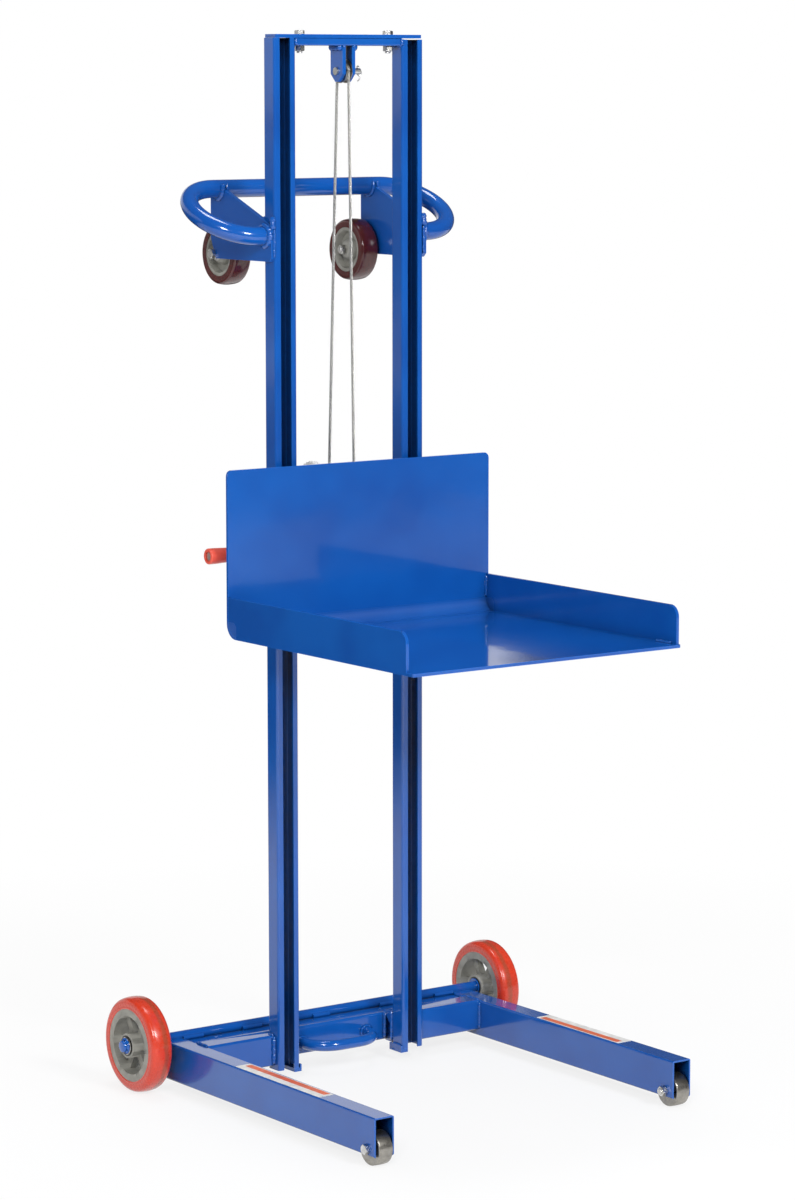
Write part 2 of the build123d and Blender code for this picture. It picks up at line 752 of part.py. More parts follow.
# Rear axle: one rod welded along the back of the base
axle_end = rear_centre + rear_hub_length / 2 + side_play + washer_thickness + cap_length / 2
with BuildPart() as rear_axle:
    with BuildSketch(facing_side(-axle_end)):
        with Locations((axle_y, axle_z)):
            Circle(axle_radius)
    extrude(amount=2 * axle_end)
    chamfer(rear_axle.edges().filter_by(GeomType.CIRCLE), axle_chamfer)
save(rear_axle, "rear_axle")

# Washers each side of a rear wheel, and the caps pressed on the axle's ends
cap_start = rear_centre + rear_hub_length / 2 + side_play + washer_thickness


def axle_cap(side):
    """Domed cap over one end of the axle."""
    with BuildPart() as cap:
        with BuildSketch(facing_side(side * cap_start)):
            with Locations((axle_y, axle_z)):
                Circle(cap_radius)
        extrude(amount=side * cap_length)
        fillet(cap.edges().filter_by(GeomType.CIRCLE).sort_by(Axis.X)[-1 if side > 0 else 0], cap_round)
        with BuildSketch(facing_side(side * cap_start)):
            with Locations((axle_y, axle_z)):
                Circle(cap_radius + cap_rim)
        extrude(amount=side * cap_rim)
        with BuildSketch(facing_side(side * cap_start)):
            with Locations((axle_y, axle_z)):
                Circle(axle_radius)
        extrude(amount=side * cap_length / 2, mode=Mode.SUBTRACT)
    return cap.part


with BuildPart() as axle_retainers:
    for side in (-1, 1):
        for offset in (-rear_hub_length / 2 - side_play - washer_thickness,
                       rear_hub_length / 2 + side_play):
            with BuildSketch(facing_side(side * (rear_centre + offset))):
                with Locations((axle_y, axle_z)):
                    Circle(washer_radius)
                    Circle(axle_radius, mode=Mode.SUBTRACT)
            extrude(amount=side * washer_thickness)
        add(axle_cap(side))
save(axle_retainers, "axle_retainers")

# Weld beads between the rear cross tube's upper edge and the axle
rear_tube_top = cross_bottom + rear_tube_height
with BuildPart() as axle_welds:
    for middle, length in stitch_welds:
        with BuildSketch(facing_side(middle - length / 2)):
            with Locations((base_rear, rear_tube_top + stitch_radius / 2)):
                Circle(stitch_radius)
            with Locations((axle_y, axle_z)):
                Circle(axle_radius, mode=Mode.SUBTRACT)
            with Locations((base_rear - cross_depth / 2, cross_bottom + rear_tube_height / 2)):
                RectangleRounded(cross_depth, rear_tube_height, cross_corner, mode=Mode.SUBTRACT)
            with Locations((base_rear, rear_tube_top - stitch_radius)):
                Rectangle(4 * stitch_radius, stitch_radius, mode=Mode.SUBTRACT)
        extrude(amount=length)
save(axle_welds, "axle_welds")

# Front rollers between the legs' walls
for side, name in ((-1, "left_front_roller"), (1, "right_front_roller")):
    x = side * leg_centre
    boss = leg_width / 2 - leg_wall - side_play
    with BuildPart() as roller:
        with BuildSketch(turned(x, roller_y, roller_z)):
            add(tyre_section(roller_radius, bolt_radius + running_gap, roller_width, roller_crown,
                             roller_edge))
        revolve(axis=Axis((x, roller_y, roller_z), (1, 0, 0)))
        with BuildSketch(facing_side(x)):
            with Locations((roller_y, roller_z)):
                Circle(bolt_radius + roller_boss_wall)
                Circle(bolt_radius + running_gap, mode=Mode.SUBTRACT)
        extrude(amount=boss, both=True)
    save(roller, name)

# Upper wheels, inboard of the brackets
upper_centre = mast_half - upper_washer - side_play - upper_hub_length / 2
rim_half = upper_width / 2 - upper_rim_inset
boss_face = upper_boss - upper_boss_step
for side, name in ((-1, "left_upper"), (1, "right_upper")):
    x = side * upper_centre
    with BuildPart() as tyre:
        with BuildSketch(turned(x, upper_y, upper_axle_z)):
            add(tyre_section(upper_tyre_radius, upper_rim, upper_width, upper_crown, upper_shoulder))
        revolve(axis=Axis((x, upper_y, upper_axle_z), (1, 0, 0)))
    save(tyre, f"{name}_tyre")
    with BuildPart() as hub:
        with BuildSketch(turned(x, upper_y, upper_axle_z)):
            for half in (-1, 1):
                with BuildLine():
                    Polyline((0, bolt_radius + running_gap),
                             (half * upper_hub_length / 2, bolt_radius + running_gap),
                             (half * upper_hub_length / 2, boss_face),
                             (half * (upper_hub_length / 2 - upper_boss_step), upper_boss),
                             (half * upper_web, upper_boss + upper_web_flare),
                             (half * upper_web, upper_rim - upper_rim_wall - upper_web_flare / 2),
                             (half * rim_half, upper_rim - upper_rim_wall),
                             (half * rim_half, upper_rim), (0, upper_rim), close=True)
                make_face()
        revolve(axis=Axis((x, upper_y, upper_axle_z), (1, 0, 0)))
    save(hub, f"{name}_hub")

# Bolts of the four small wheels, heads outside, and the upper wheels' inner washers
with BuildPart() as wheel_bolts:
    for side in (-1, 1):
        outer = Plane(origin=(side * leg_half, roller_y, roller_z), z_dir=(side, 0, 0))
        add(hex_bolt(outer, leg_width))
        upper = Plane(origin=(side * bracket_outer, upper_y, upper_axle_z), z_dir=(side, 0, 0))
        add(hex_bolt(upper, bracket_outer - upper_centre + upper_hub_length / 2 + side_play))
        with BuildSketch(facing_side(side * mast_half)):
            with Locations((upper_y, upper_axle_z)):
                Circle(boss_face)
                Circle(bolt_radius, mode=Mode.SUBTRACT)
        extrude(amount=-side * upper_washer)
save(wheel_bolts, "wheel_bolts")

# Tray: the back plate with the bend at its foot, and the flat deck with its lips
plate_top = tray_bottom + back_plate_height
with BuildPart() as platform_back_plate:
    with BuildSketch(facing_side(-tray_half)):
        with BuildLine():
            CenterArc((bend_y, bend_z), tray_bend, -90, 90)
            Polyline((plate_rear, bend_z), (plate_rear, plate_top), (tray_front, plate_top),
                     (tray_front, bend_z))
            CenterArc((bend_y, bend_z), tray_bend - plate_thickness, 0, -90)
            Line((bend_y, deck_top), (bend_y, tray_bottom))
        make_face()
    extrude(amount=2 * tray_half)
    fillet(platform_back_plate.edges().filter_by(Axis.Y).group_by(Axis.Z)[-1], back_plate_corner)
save(platform_back_plate, "platform_back_plate")

lip_top = deck_top + lip_height
lip_corner = lip_front_radius * (1 - cos(radians(45)))
with BuildPart() as platform_deck:
    with BuildSketch(Plane.XY.offset(tray_bottom)):
        with Locations((0, (deck_front + bend_y) / 2)):
            Rectangle(2 * tray_half, bend_y - deck_front)
    extrude(amount=plate_thickness)
    fillet(platform_deck.edges().filter_by(Axis.Z).group_by(Axis.Y)[0], deck_corner)
    for side, setback in ((-1, left_lip_setback), (1, right_lip_setback)):
        lip_front = deck_front + setback
        with BuildSketch(facing_side(side * tray_half)):
            with BuildLine():
                Polyline((bend_y, deck_top), (lip_front, deck_top),
                         (lip_front, lip_top - lip_front_radius))
                ThreePointArc((lip_front, lip_top - lip_front_radius),
                              (lip_front + lip_corner, lip_top - lip_corner),
                              (lip_front + lip_front_radius, lip_top))
                Polyline((lip_front + lip_front_radius, lip_top), (tray_front, lip_top),
                         (tray_front, bend_z))
                CenterArc((bend_y, bend_z), tray_bend - plate_thickness, 0, -90)
            make_face()
        extrude(amount=-side * plate_thickness)
save(platform_deck, "platform_deck")

# Carriage plates that reach through the channels' slots, and the bars between them
lower_reach = lower_guide_y + guide_radius - carriage_inset
upper_guide_reach = upper_guide_y + guide_radius - carriage_inset
neck_y = mast_y - carriage_inset
with BuildPart() as carriage_plates:
    for side in (-1, 1):
        with BuildSketch(facing_side(side * channel_centre)):
            with BuildLine():
                Polyline((plate_rear, tray_bottom + carriage_bottom),
                         (lower_reach, tray_bottom + carriage_bottom),
                         (lower_reach, lower_axle_z + carriage_head),
                         (neck_y, lower_axle_z + 2 * carriage_head),
                         (neck_y, upper_guide_z - 2 * carriage_head),
                         (upper_guide_reach, upper_guide_z - carriage_head),
                         (upper_guide_reach, upper_guide_z + carriage_head),
                         (plate_rear, upper_guide_z + carriage_head), close=True)
            make_face()
            with Locations((lower_guide_y, lower_axle_z), (upper_guide_y, upper_guide_z)):
                Circle(guide_pin + bolt_hole_gap, mode=Mode.SUBTRACT)
        extrude(amount=carriage_plate / 2, both=True)
save(carriage_plates, "carriage_plates")

with BuildPart() as carriage_crossbars:
    for z in (anchor_z, upper_guide_z):
        with BuildSketch(facing_front(plate_rear + crossbar_thickness)):
            with Locations((0, z)):
                Rectangle(2 * (channel_centre - carriage_plate / 2), crossbar_height)
            if z == anchor_z:
                with Locations((0, z)):
                    Circle(anchor_bolt_radius + bolt_hole_gap, mode=Mode.SUBTRACT)
        extrude(amount=crossbar_thickness)
save(carriage_crossbars, "carriage_crossbars")

head_back = anchor_y + rope_radius + anchor_head_gap + anchor_head
with BuildPart() as rope_anchor_bolt:
    with BuildSketch(facing_front(head_back)):
        with Locations((0, anchor_z)):
            Circle(anchor_bolt_radius)
    extrude(amount=head_back - plate_rear)
    with BuildSketch(facing_front(head_back)):
        with Locations((0, anchor_z)):
            RegularPolygon(anchor_head_radius, 6)
    extrude(amount=anchor_head)
save(rope_anchor_bolt, "rope_anchor_bolt")

# Guide rollers, one each side of a carriage plate, and their pins
guide_places = {"upper_guide_rollers": (upper_guide_y, upper_guide_z),
                "lower_guide_rollers": (lower_guide_y, lower_axle_z)}
for name, (y, z) in guide_places.items():
    with BuildPart() as guides:
        for side in (-1, 1):
            for half in (-1, 1):
                x = side * channel_centre + half * (carriage_plate / 2 + side_play)
                with BuildSketch(facing_side(x)):
                    with Locations((y, z)):
                        Circle(guide_radius)
                        Circle(guide_pin + running_gap, mode=Mode.SUBTRACT)
                extrude(amount=half * guide_width)
    save(guides, name)

with BuildPart() as guide_pins:
    reach = carriage_plate / 2 + guide_width + 2 * side_play
    for y, z in guide_places.values():
        for side in (-1, 1):
            with BuildSketch(facing_side(side * channel_centre)):
                with Locations((y, z)):
                    Circle(guide_pin)
            extrude(amount=reach, both=True)
            for half in (-1, 1):
                with BuildSketch(facing_side(side * channel_centre + half * reach)):
                    with Locations((y, z)):
                        Circle(guide_pin_head_radius)
                extrude(amount=half * guide_pin_head)
save(guide_pins, "guide_pins")

# Winch: a mounting plate on the uprights, and a folded frame bolted to it
mount_rear = mast_rear + mount_thickness
winch_bolt_places = [(x, z) for x in winch_bolt_x for z in winch_bolt_z]
with BuildPart() as winch_mount_plate:
    with BuildSketch(facing_front(mount_rear)):
        with Locations((0, (mount_bottom + mount_top) / 2)):
            RectangleRounded(2 * mount_half, mount_top - mount_bottom, mount_corner)
        with Locations(*winch_bolt_places):
            Circle(bolt_radius + bolt_hole_gap, mode=Mode.SUBTRACT)
    extrude(amount=mount_thickness)
save(winch_mount_plate, "winch_mount_plate")

pawl_y = shaft_y - pawl_back
pawl_z = shaft_z + pawl_rise
with BuildPart() as winch_frame:
    with BuildSketch(facing_front(mount_rear + winch_plate)):
        with Locations(((winch_left + winch_right) / 2, (base_top + base_bottom) / 2)):
            Rectangle(winch_right - winch_left, base_top - base_bottom)
        with Locations(*winch_bolt_places):
            Circle(bolt_radius + bolt_hole_gap, mode=Mode.SUBTRACT)
    extrude(amount=winch_plate)
    for x in (winch_left, winch_right - winch_plate):
        with BuildSketch(facing_side(x)):
            with Locations((drum_y, winch_z), (shaft_y, shaft_z)):
                Circle(cheek_round)
            with Locations((mount_rear + winch_plate / 2, (base_top + base_bottom) / 2)):
                Rectangle(winch_plate, base_top - base_bottom)
            make_hull()
            with Locations((drum_y, winch_z)):
                Circle(drum_pin + bolt_hole_gap, mode=Mode.SUBTRACT)
            with Locations((shaft_y, shaft_z)):
                Circle(shaft_radius + running_gap, mode=Mode.SUBTRACT)
            if x == winch_left:
                with Locations((pawl_y, pawl_z)):
                    Circle(pawl_pin + running_gap, mode=Mode.SUBTRACT)
        extrude(amount=winch_plate)
save(winch_frame, "winch_frame")

# Plate on the left of the mounting plate, which carries the crank shaft's outer end
with BuildPart() as shaft_support:
    with BuildSketch(facing_side(support_x)):
        with Locations((shaft_y, shaft_z)):
            Circle(cheek_round)
        with Locations((mount_rear + winch_plate / 2, shaft_z)):
            Rectangle(winch_plate, 2 * cheek_round)
        make_hull()
        with Locations((shaft_y, shaft_z)):
            Circle(shaft_radius + running_gap, mode=Mode.SUBTRACT)
    extrude(amount=support_thickness)
save(shaft_support, "shaft_support")

# Bolts of the cap plate and of the winch
with BuildPart() as cap_bolts:
    for x in (-top_bolt_x, top_bolt_x):
        seat = Plane(origin=(x, mast_y + channel_depth / 2, cap_top), z_dir=(0, 0, 1))
        add(hex_bolt(seat, cap_top - top_tube_bottom))
save(cap_bolts, "cap_bolts")

with BuildPart() as winch_bolts:
    for x, z in winch_bolt_places:
        seat = Plane(origin=(x, mount_rear + winch_plate, z), z_dir=(0, 1, 0))
        add(hex_bolt(seat, mount_thickness + winch_plate))
save(winch_bolts, "winch_bolts")

# Drum: a core between two flanges on a long hub, with the ring gear on its left flange
drum_left = winch_left + winch_plate + side_play
drum_right = winch_right - winch_plate - side_play
gear_left = winch_left + winch_plate + drum_play
flange_left = gear_left + gear_width
flange_right = winch_right - winch_plate - drum_play
with BuildPart() as winch_drum:
    with BuildSketch(turned(0, drum_y, winch_z)):
        with BuildLine():
            Polyline((drum_left, drum_pin + running_gap), (drum_left, hub_radius),
                     (flange_left, hub_radius), (flange_left, flange_radius),
                     (flange_left + flange_thickness, flange_radius),
                     (flange_left + flange_thickness, drum_radius),
                     (flange_right - flange_thickness, drum_radius),
                     (flange_right - flange_thickness, flange_radius), (flange_right, flange_radius),
                     (flange_right, hub_radius), (drum_right, hub_radius),
                     (drum_right, drum_pin + running_gap), close=True)
        make_face()
    revolve(axis=Axis((0, drum_y, winch_z), (1, 0, 0)))
save(winch_drum, "winch_drum")

with BuildPart() as ring_gear:
    with BuildSketch(Plane(origin=(gear_left, drum_y, winch_z), x_dir=(0, 1, 0), z_dir=(1, 0, 0))):
        with BuildLine():
            Polyline(*gear_outline(gear_teeth, pinion_angle), close=True)
        make_face()
        Circle(hub_radius, mode=Mode.SUBTRACT)
        with PolarLocations(gear_window_ring, gear_windows):
            Circle(gear_window, mode=Mode.SUBTRACT)
    extrude(amount=gear_width)
save(ring_gear, "ring_gear")

# Turns of rope that stay on the drum beside the one that is paying out
winding_left = rope_radius + rope_gap
with BuildPart() as rope_winding:
    with BuildSketch(turned(0, drum_y, winch_z)):
        with BuildLine():
            Line((winding_left, drum_radius), (winding_left, drum_radius + rope_radius))
            for turn in range(winding_turns):
                left = winding_left + 2 * rope_radius * turn
                ThreePointArc((left, drum_radius + rope_radius),
                              (left + rope_radius, drum_radius + 2 * rope_radius),
                              (left + 2 * rope_radius, drum_radius + rope_radius))
            right = winding_left + 2 * rope_radius * winding_turns
            Polyline((right, drum_radius + rope_radius), (right, drum_radius),
                     (winding_left, drum_radius))
        make_face()
    revolve(axis=Axis((0, drum_y, winch_z), (1, 0, 0)))
save(rope_winding, "rope_winding")

# Drum's axle, headed at both ends, and the pawl's pin on the left cheek
with BuildPart() as winch_pins:
    with BuildSketch(facing_side(winch_left)):
        with Locations((drum_y, winch_z)):
            Circle(drum_pin)
    extrude(amount=winch_right - winch_left)
    for x, way in ((winch_left, -1), (winch_right, 1)):
        with BuildSketch(facing_side(x)):
            with Locations((drum_y, winch_z)):
                Circle(drum_pin + pin_rim)
        extrude(amount=way * pin_rim)
    pawl_head_x = winch_left - ratchet_gap - ratchet_width - side_play
    with BuildSketch(facing_side(pawl_head_x)):
        with Locations((pawl_y, pawl_z)):
            Circle(pawl_pin)
    extrude(amount=winch_left + winch_plate - pawl_head_x)
    with BuildSketch(facing_side(pawl_head_x)):
        with Locations((pawl_y, pawl_z)):
            Circle(pawl_pin + pin_rim)
    extrude(amount=-pin_rim)
save(winch_pins, "winch_pins")

# Crank shaft with its pinion, turning in the winch's cheeks
pinion_middle = gear_left + gear_width / 2
arm_outer = -(crank_plane + crank_thickness)
pinion_phase = pinion_angle + 180 + 180 / pinion_teeth
with BuildPart() as pinion_shaft:
    with BuildSketch(facing_side(arm_outer - shaft_tail)):
        with Locations((shaft_y, shaft_z)):
            Circle(shaft_radius)
    extrude(amount=winch_right + collar_width + 2 * shaft_tail - arm_outer)
    with BuildSketch(Plane(origin=(pinion_middle, shaft_y, shaft_z), x_dir=(0, 1, 0),
                           z_dir=(1, 0, 0))):
        with BuildLine():
            Polyline(*gear_outline(pinion_teeth, pinion_phase), close=True)
        make_face()
    extrude(amount=pinion_width / 2, both=True)
    with BuildSketch(facing_side(winch_right + side_play)):
        with Locations((shaft_y, shaft_z)):
            Circle(collar_radius)
    extrude(amount=collar_width)
save(pinion_shaft, "pinion_shaft")


def ratchet_outline():
    """Saw teeth: each climbs over its pitch and drops straight back to the root."""
    points = []
    for tooth in range(ratchet_teeth):
        start = radians(ratchet_phase + 360 / ratchet_teeth * tooth)
        top = start + radians(360 / ratchet_teeth)
        points.append((ratchet_root * cos(start), ratchet_root * sin(start)))
        points.append((ratchet_tip * cos(top), ratchet_tip * sin(top)))
    return points


ratchet_x = winch_left - ratchet_gap
with BuildPart() as ratchet_wheel:
    with BuildSketch(Plane(origin=(ratchet_x, shaft_y, shaft_z), x_dir=(0, 1, 0), z_dir=(1, 0, 0))):
        with BuildLine():
            Polyline(*ratchet_outline(), close=True)
        make_face()
        Circle(shaft_radius, mode=Mode.SUBTRACT)
    extrude(amount=-ratchet_width)
save(ratchet_wheel, "ratchet_wheel")

# Pawl: an eye on its pin and a hooked nose over the ratchet, lifted clear of the tips
with BuildPart() as pawl:
    nose_z = ratchet_tip + pawl_lift_gap
    with BuildSketch(Plane(origin=(ratchet_x, shaft_y, shaft_z), x_dir=(0, 1, 0), z_dir=(1, 0, 0))):
        with Locations((-pawl_back, pawl_rise)):
            Circle(pawl_eye)
        with BuildLine():
            Polyline((-pawl_back, pawl_rise + pawl_eye), (1 - pawl_nose, pawl_rise + pawl_eye),
                     (1, pawl_rise + pawl_nose), (1, nose_z), (1 - pawl_nose, nose_z),
                     (-pawl_eye, nose_z + pawl_nose), (-pawl_back, pawl_rise - pawl_eye), close=True)
        make_face()
        with Locations((-pawl_back, pawl_rise)):
            Circle(pawl_pin + running_gap, mode=Mode.SUBTRACT)
    extrude(amount=-ratchet_width)
save(pawl, "pawl")

# Crank arm, outside the left upright, hanging forward and down
fall = radians(crank_fall)
grip_y = shaft_y - crank_length * cos(fall)
grip_z = shaft_z - crank_length * sin(fall)
with BuildPart() as crank_arm:
    with BuildSketch(facing_side(-crank_plane)):
        with Locations(((shaft_y + grip_y) / 2, (shaft_z + grip_z) / 2)):
            SlotCenterToCenter(crank_length, crank_width, rotation=crank_fall)
        with Locations((shaft_y, shaft_z)):
            Circle(shaft_radius, mode=Mode.SUBTRACT)
        with Locations((grip_y, grip_z)):
            Circle(grip_pin, mode=Mode.SUBTRACT)
    extrude(amount=-crank_thickness)
save(crank_arm, "crank_arm")

# Nut on the shaft's end, and the bolt that the grip turns on
grip_start = arm_outer - side_play
grip_end = grip_start - grip_length
well_end = grip_end + grip_well
with BuildPart() as crank_fasteners:
    with BuildSketch(facing_side(arm_outer)):
        with Locations((shaft_y, shaft_z)):
            RegularPolygon(crank_nut_radius, 6)
            Circle(shaft_radius, mode=Mode.SUBTRACT)
    extrude(amount=-crank_nut)
    with BuildSketch(facing_side(-crank_plane)):
        with Locations((grip_y, grip_z)):
            Circle(grip_pin)
    extrude(amount=-(crank_thickness + side_play + grip_length - grip_well))
    with BuildSketch(facing_side(well_end)):
        with Locations((grip_y, grip_z)):
            Circle(grip_pin + grip_head_rim)
    extrude(amount=-grip_head)
save(crank_fasteners, "crank_fasteners")

# Grip: waisted between its end bands, with a pocket for the bolt's head
well_radius = grip_pin + grip_well_wall
with BuildPart() as crank_grip:
    with BuildSketch(turned(grip_end, grip_y, grip_z)):
        with BuildLine():
            Line((0, well_radius), (0, grip_radius - grip_edge))
            RadiusArc((0, grip_radius - grip_edge), (grip_edge, grip_radius), grip_edge)
            Line((grip_edge, grip_radius), (grip_shoulder, grip_radius))
            ThreePointArc((grip_shoulder, grip_radius), (grip_length / 2, grip_radius - grip_waist),
                          (grip_length - grip_shoulder, grip_radius))
            Polyline((grip_length - grip_shoulder, grip_radius), (grip_length - grip_edge, grip_radius),
                     (grip_length, grip_radius - grip_edge), (grip_length, grip_pin + running_gap),
                     (grip_well + side_play, grip_pin + running_gap),
                     (grip_well + side_play, well_radius), (0, well_radius))
        make_face()
    revolve(axis=Axis((grip_end, grip_y, grip_z), (1, 0, 0)))
save(crank_grip, "crank_grip")
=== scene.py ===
from math import acos, atan2, ceil, cos, hypot, pi, radians, sin, tan

import bmesh
import bpy
from bpy.props import FloatProperty, FloatVectorProperty, IntProperty, PointerProperty
from mathutils import Euler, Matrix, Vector


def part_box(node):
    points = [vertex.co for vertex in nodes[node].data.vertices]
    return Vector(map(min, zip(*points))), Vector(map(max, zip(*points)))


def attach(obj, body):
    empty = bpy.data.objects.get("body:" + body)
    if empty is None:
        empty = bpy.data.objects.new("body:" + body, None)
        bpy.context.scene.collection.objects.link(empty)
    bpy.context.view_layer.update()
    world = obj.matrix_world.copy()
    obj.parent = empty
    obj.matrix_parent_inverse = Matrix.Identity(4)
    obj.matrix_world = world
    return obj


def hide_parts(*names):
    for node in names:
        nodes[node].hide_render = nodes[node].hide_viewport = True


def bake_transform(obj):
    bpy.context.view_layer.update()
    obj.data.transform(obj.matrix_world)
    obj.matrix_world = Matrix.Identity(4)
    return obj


bl_info = {
    "name": "Light Load Lift",
    "version": (1, 0, 0),
    "blender": (4, 5, 0),
    "location": "3D View > Sidebar > Lift",
    "description": "Finishes, wire rope, fasteners and weld beads of a hand-winch load lift",
    "category": "Object",
}

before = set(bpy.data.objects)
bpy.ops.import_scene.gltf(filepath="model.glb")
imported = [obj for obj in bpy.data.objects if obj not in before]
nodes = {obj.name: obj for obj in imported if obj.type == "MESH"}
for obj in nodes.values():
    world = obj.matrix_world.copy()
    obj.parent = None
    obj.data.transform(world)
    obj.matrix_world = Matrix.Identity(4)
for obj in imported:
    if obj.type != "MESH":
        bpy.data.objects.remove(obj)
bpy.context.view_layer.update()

# Nodes by finish
PAINTED = ("left_leg", "right_leg", "rear_cross_tube", "left_front_tube", "right_front_tube", "foot_loop",
           "left_upright", "right_upright", "channel_stops", "top_cross_tube", "top_cap_plate",
           "sheave_ears", "push_handle", "left_wheel_bracket", "right_wheel_bracket", "rear_axle",
           "axle_welds", "winch_mount_plate", "shaft_support", "carriage_plates", "carriage_crossbars")
TRAY = ("platform_back_plate", "platform_deck")
PLATED = ("sheave_pin", "winch_frame", "winch_pins", "ratchet_wheel", "pawl", "pinion_shaft", "crank_arm",
          "crank_fasteners", "guide_pins", "rope_anchor_bolt")
PALE = ("winch_drum", "ring_gear")
TURNED = ("sheave", "left_front_roller", "right_front_roller", "upper_guide_rollers",
          "lower_guide_rollers", "rope_end")
CORES = ("left_rear_hub", "right_rear_hub", "left_upper_hub", "right_upper_hub")
BEARINGS = ("left_rear_bearing", "right_rear_bearing")
MAROON_TYRES = ("left_upper_tyre", "right_upper_tyre")

# Nodes whose sharp edges are rounded for the light
ROUNDED = (*TRAY, "left_wheel_bracket", "right_wheel_bracket", "top_cap_plate", "sheave_ears",
           "winch_mount_plate", "shaft_support")

# All sizes are in metres. Bolts, with X and Z of the four that hold the winch
BOLT_RADIUS = 0.00475
BOLT_FLATS = 0.0143
HEAD_HEIGHT = 0.0062
NUT_HEIGHT = 0.0084
BOLT_TIP = 0.003
WINCH_BOLTS = ((0.008, 0.880), (0.008, 0.956), (0.040, 0.880), (0.040, 0.956))

# X of the brackets' outer and the uprights' outer and inner faces, Y of the uprights' front and rear
BRACKET_FACE = 0.1491
MAST_FACE = 0.14275
MAST_INNER = 0.10175
MAST_FRONT = 0.151
MAST_REAR = 0.181

# Handle's tube, tray's sheet and how far in its bend lies, rear axle, wheels' play, tyres' inner edge
HANDLE_RADIUS = 0.0143
TRAY_SHEET = 0.0048
TRAY_BEND = 0.024
AXLE_RADIUS = 0.0095
WHEEL_PLAY = 0.0003
TYRE_RIM = 0.058

# Half the width of a wheel's web in the CAD, and here, where the dish is deeper
WEBS = {"rear": (0.012, 0.005), "upper": (0.007, 0.0035)}

# X where the front tubes' hollows end in the CAD, and where the hollows and the closed ends lie here
CAD_HOLLOW_END = 0.085
HOLLOW_END = 0.1044
CLOSED_END = 0.1019

# How close a CAD vertex lies to the size that finds it
NEAR = 0.0006

# Length of a step along a weld bead, and steps along the rope while a strand goes once round
BEAD_STEP = 0.0016
STEPS_PER_LAY = 14

# Soft lights: name, place and the setting that holds their power
LAMPS = (("left_light", (-4.1, -4.3, 3.5), "key_watts"),
         ("front_light", (0.3, -5.4, 3.5), "key_watts"),
         ("top_light", (0.2, 0.4, 4.8), "fill_watts"))
LAMP_SIZE = 1.2
LAMP_AIM = (0.0, 0.0, 0.8)

# Camera, with its turn in degrees, its sensor in millimetres and its shift as a share of the sensor
CAMERA_PLACE = (-3.547877, -4.895311, 1.603502)
CAMERA_TURN = (82.18, 0.0354, -35.8654)
SENSOR_WIDTH = 36.0
CAMERA_SHIFT = (-0.003303, 0.007535)

WHITE = (1.0, 1.0, 1.0, 1.0)


def middle(node):
    """Centre of a CAD node at rest."""
    low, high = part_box(node)
    return (low + high) / 2


class FinishSettings(bpy.types.PropertyGroup):
    """Colours of the finishes, and the rounding of the plates' edges."""
    enamel: FloatVectorProperty(
        name="Enamel", description="Main colour of the blue enamel", subtype="COLOR",
        default=(0.004, 0.086, 0.375), min=0.0, max=1.0)
    enamel_deep: FloatVectorProperty(
        name="Deep enamel", description="Enamel where the coat lies thicker", subtype="COLOR",
        default=(0.003, 0.066, 0.315), min=0.0, max=1.0)
    red_tread: FloatVectorProperty(
        name="Red tread", description="Tyres of the two rear wheels", subtype="COLOR",
        default=(0.60, 0.038, 0.012), min=0.0, max=1.0)
    maroon_tread: FloatVectorProperty(
        name="Maroon tread", description="Tyres of the two upper wheels", subtype="COLOR",
        default=(0.075, 0.011, 0.010), min=0.0, max=1.0)
    wheel_core: FloatVectorProperty(
        name="Wheel core", description="Cast cores of the four wheels", subtype="COLOR",
        default=(0.30, 0.295, 0.26), min=0.0, max=1.0)
    grip_rubber: FloatVectorProperty(
        name="Grip", description="Moulded crank grip", subtype="COLOR",
        default=(0.80, 0.095, 0.055), min=0.0, max=1.0)
    zinc: FloatVectorProperty(
        name="Zinc", description="Plated bolts, nuts and winch parts", subtype="COLOR",
        default=(0.72, 0.72, 0.69), min=0.0, max=1.0)
    edge_round: FloatProperty(
        name="Edge round", description="Radius of the rounded plate edges", subtype="DISTANCE",
        default=0.0006, min=0.0, max=0.003)


class WeldSettings(bpy.types.PropertyGroup):
    """Size of the weld beads."""
    bead: FloatProperty(
        name="Bead", description="Radius of the weld beads", subtype="DISTANCE",
        default=0.0032, min=0.001, max=0.006)
    ripple: FloatProperty(
        name="Ripple", description="Depth of the ripples as a share of the bead's radius",
        default=0.22, min=0.0, max=0.5)


class RopeSettings(bpy.types.PropertyGroup):
    """Make of the wire rope."""
    strands: IntProperty(
        name="Strands", description="Outer strands of the wire rope", default=6, min=3, max=8)
    lay: FloatProperty(
        name="Lay", description="Length in which a strand goes once round", subtype="DISTANCE",
        default=0.036, min=0.01, max=0.1)


class StageSettings(bpy.types.PropertyGroup):
    """Camera's lens and the strengths of the lights."""
    lens: FloatProperty(
        name="Lens", description="Focal length in millimetres for a 36 mm sensor",
        default=117.0044, min=10.0, max=400.0)
    key_watts: FloatProperty(
        name="Key lights", description="Power of each of the two lights in front", default=190.0,
        min=0.0, max=2000.0)
    fill_watts: FloatProperty(
        name="Top light", description="Power of the light above", default=45.0,
        min=0.0, max=2000.0)
    room: FloatProperty(
        name="Room light", description="Strength of the even light from the room", default=0.62,
        min=0.0, max=2.0)
    mirrored_room: FloatProperty(
        name="Mirrored room", description="Strength of the room where glossy faces reflect it",
        default=0.08, min=0.0, max=2.0)
    backdrop: FloatProperty(
        name="Backdrop", description="Strength of the white backdrop where glossy faces reflect it",
        default=0.85, min=0.0, max=2.0)


# Materials

def feed(tree, value, entry):
    """Give an input a plain value or another node's output."""
    if isinstance(value, bpy.types.NodeSocket):
        tree.links.new(value, entry)
    else:
        entry.default_value = value


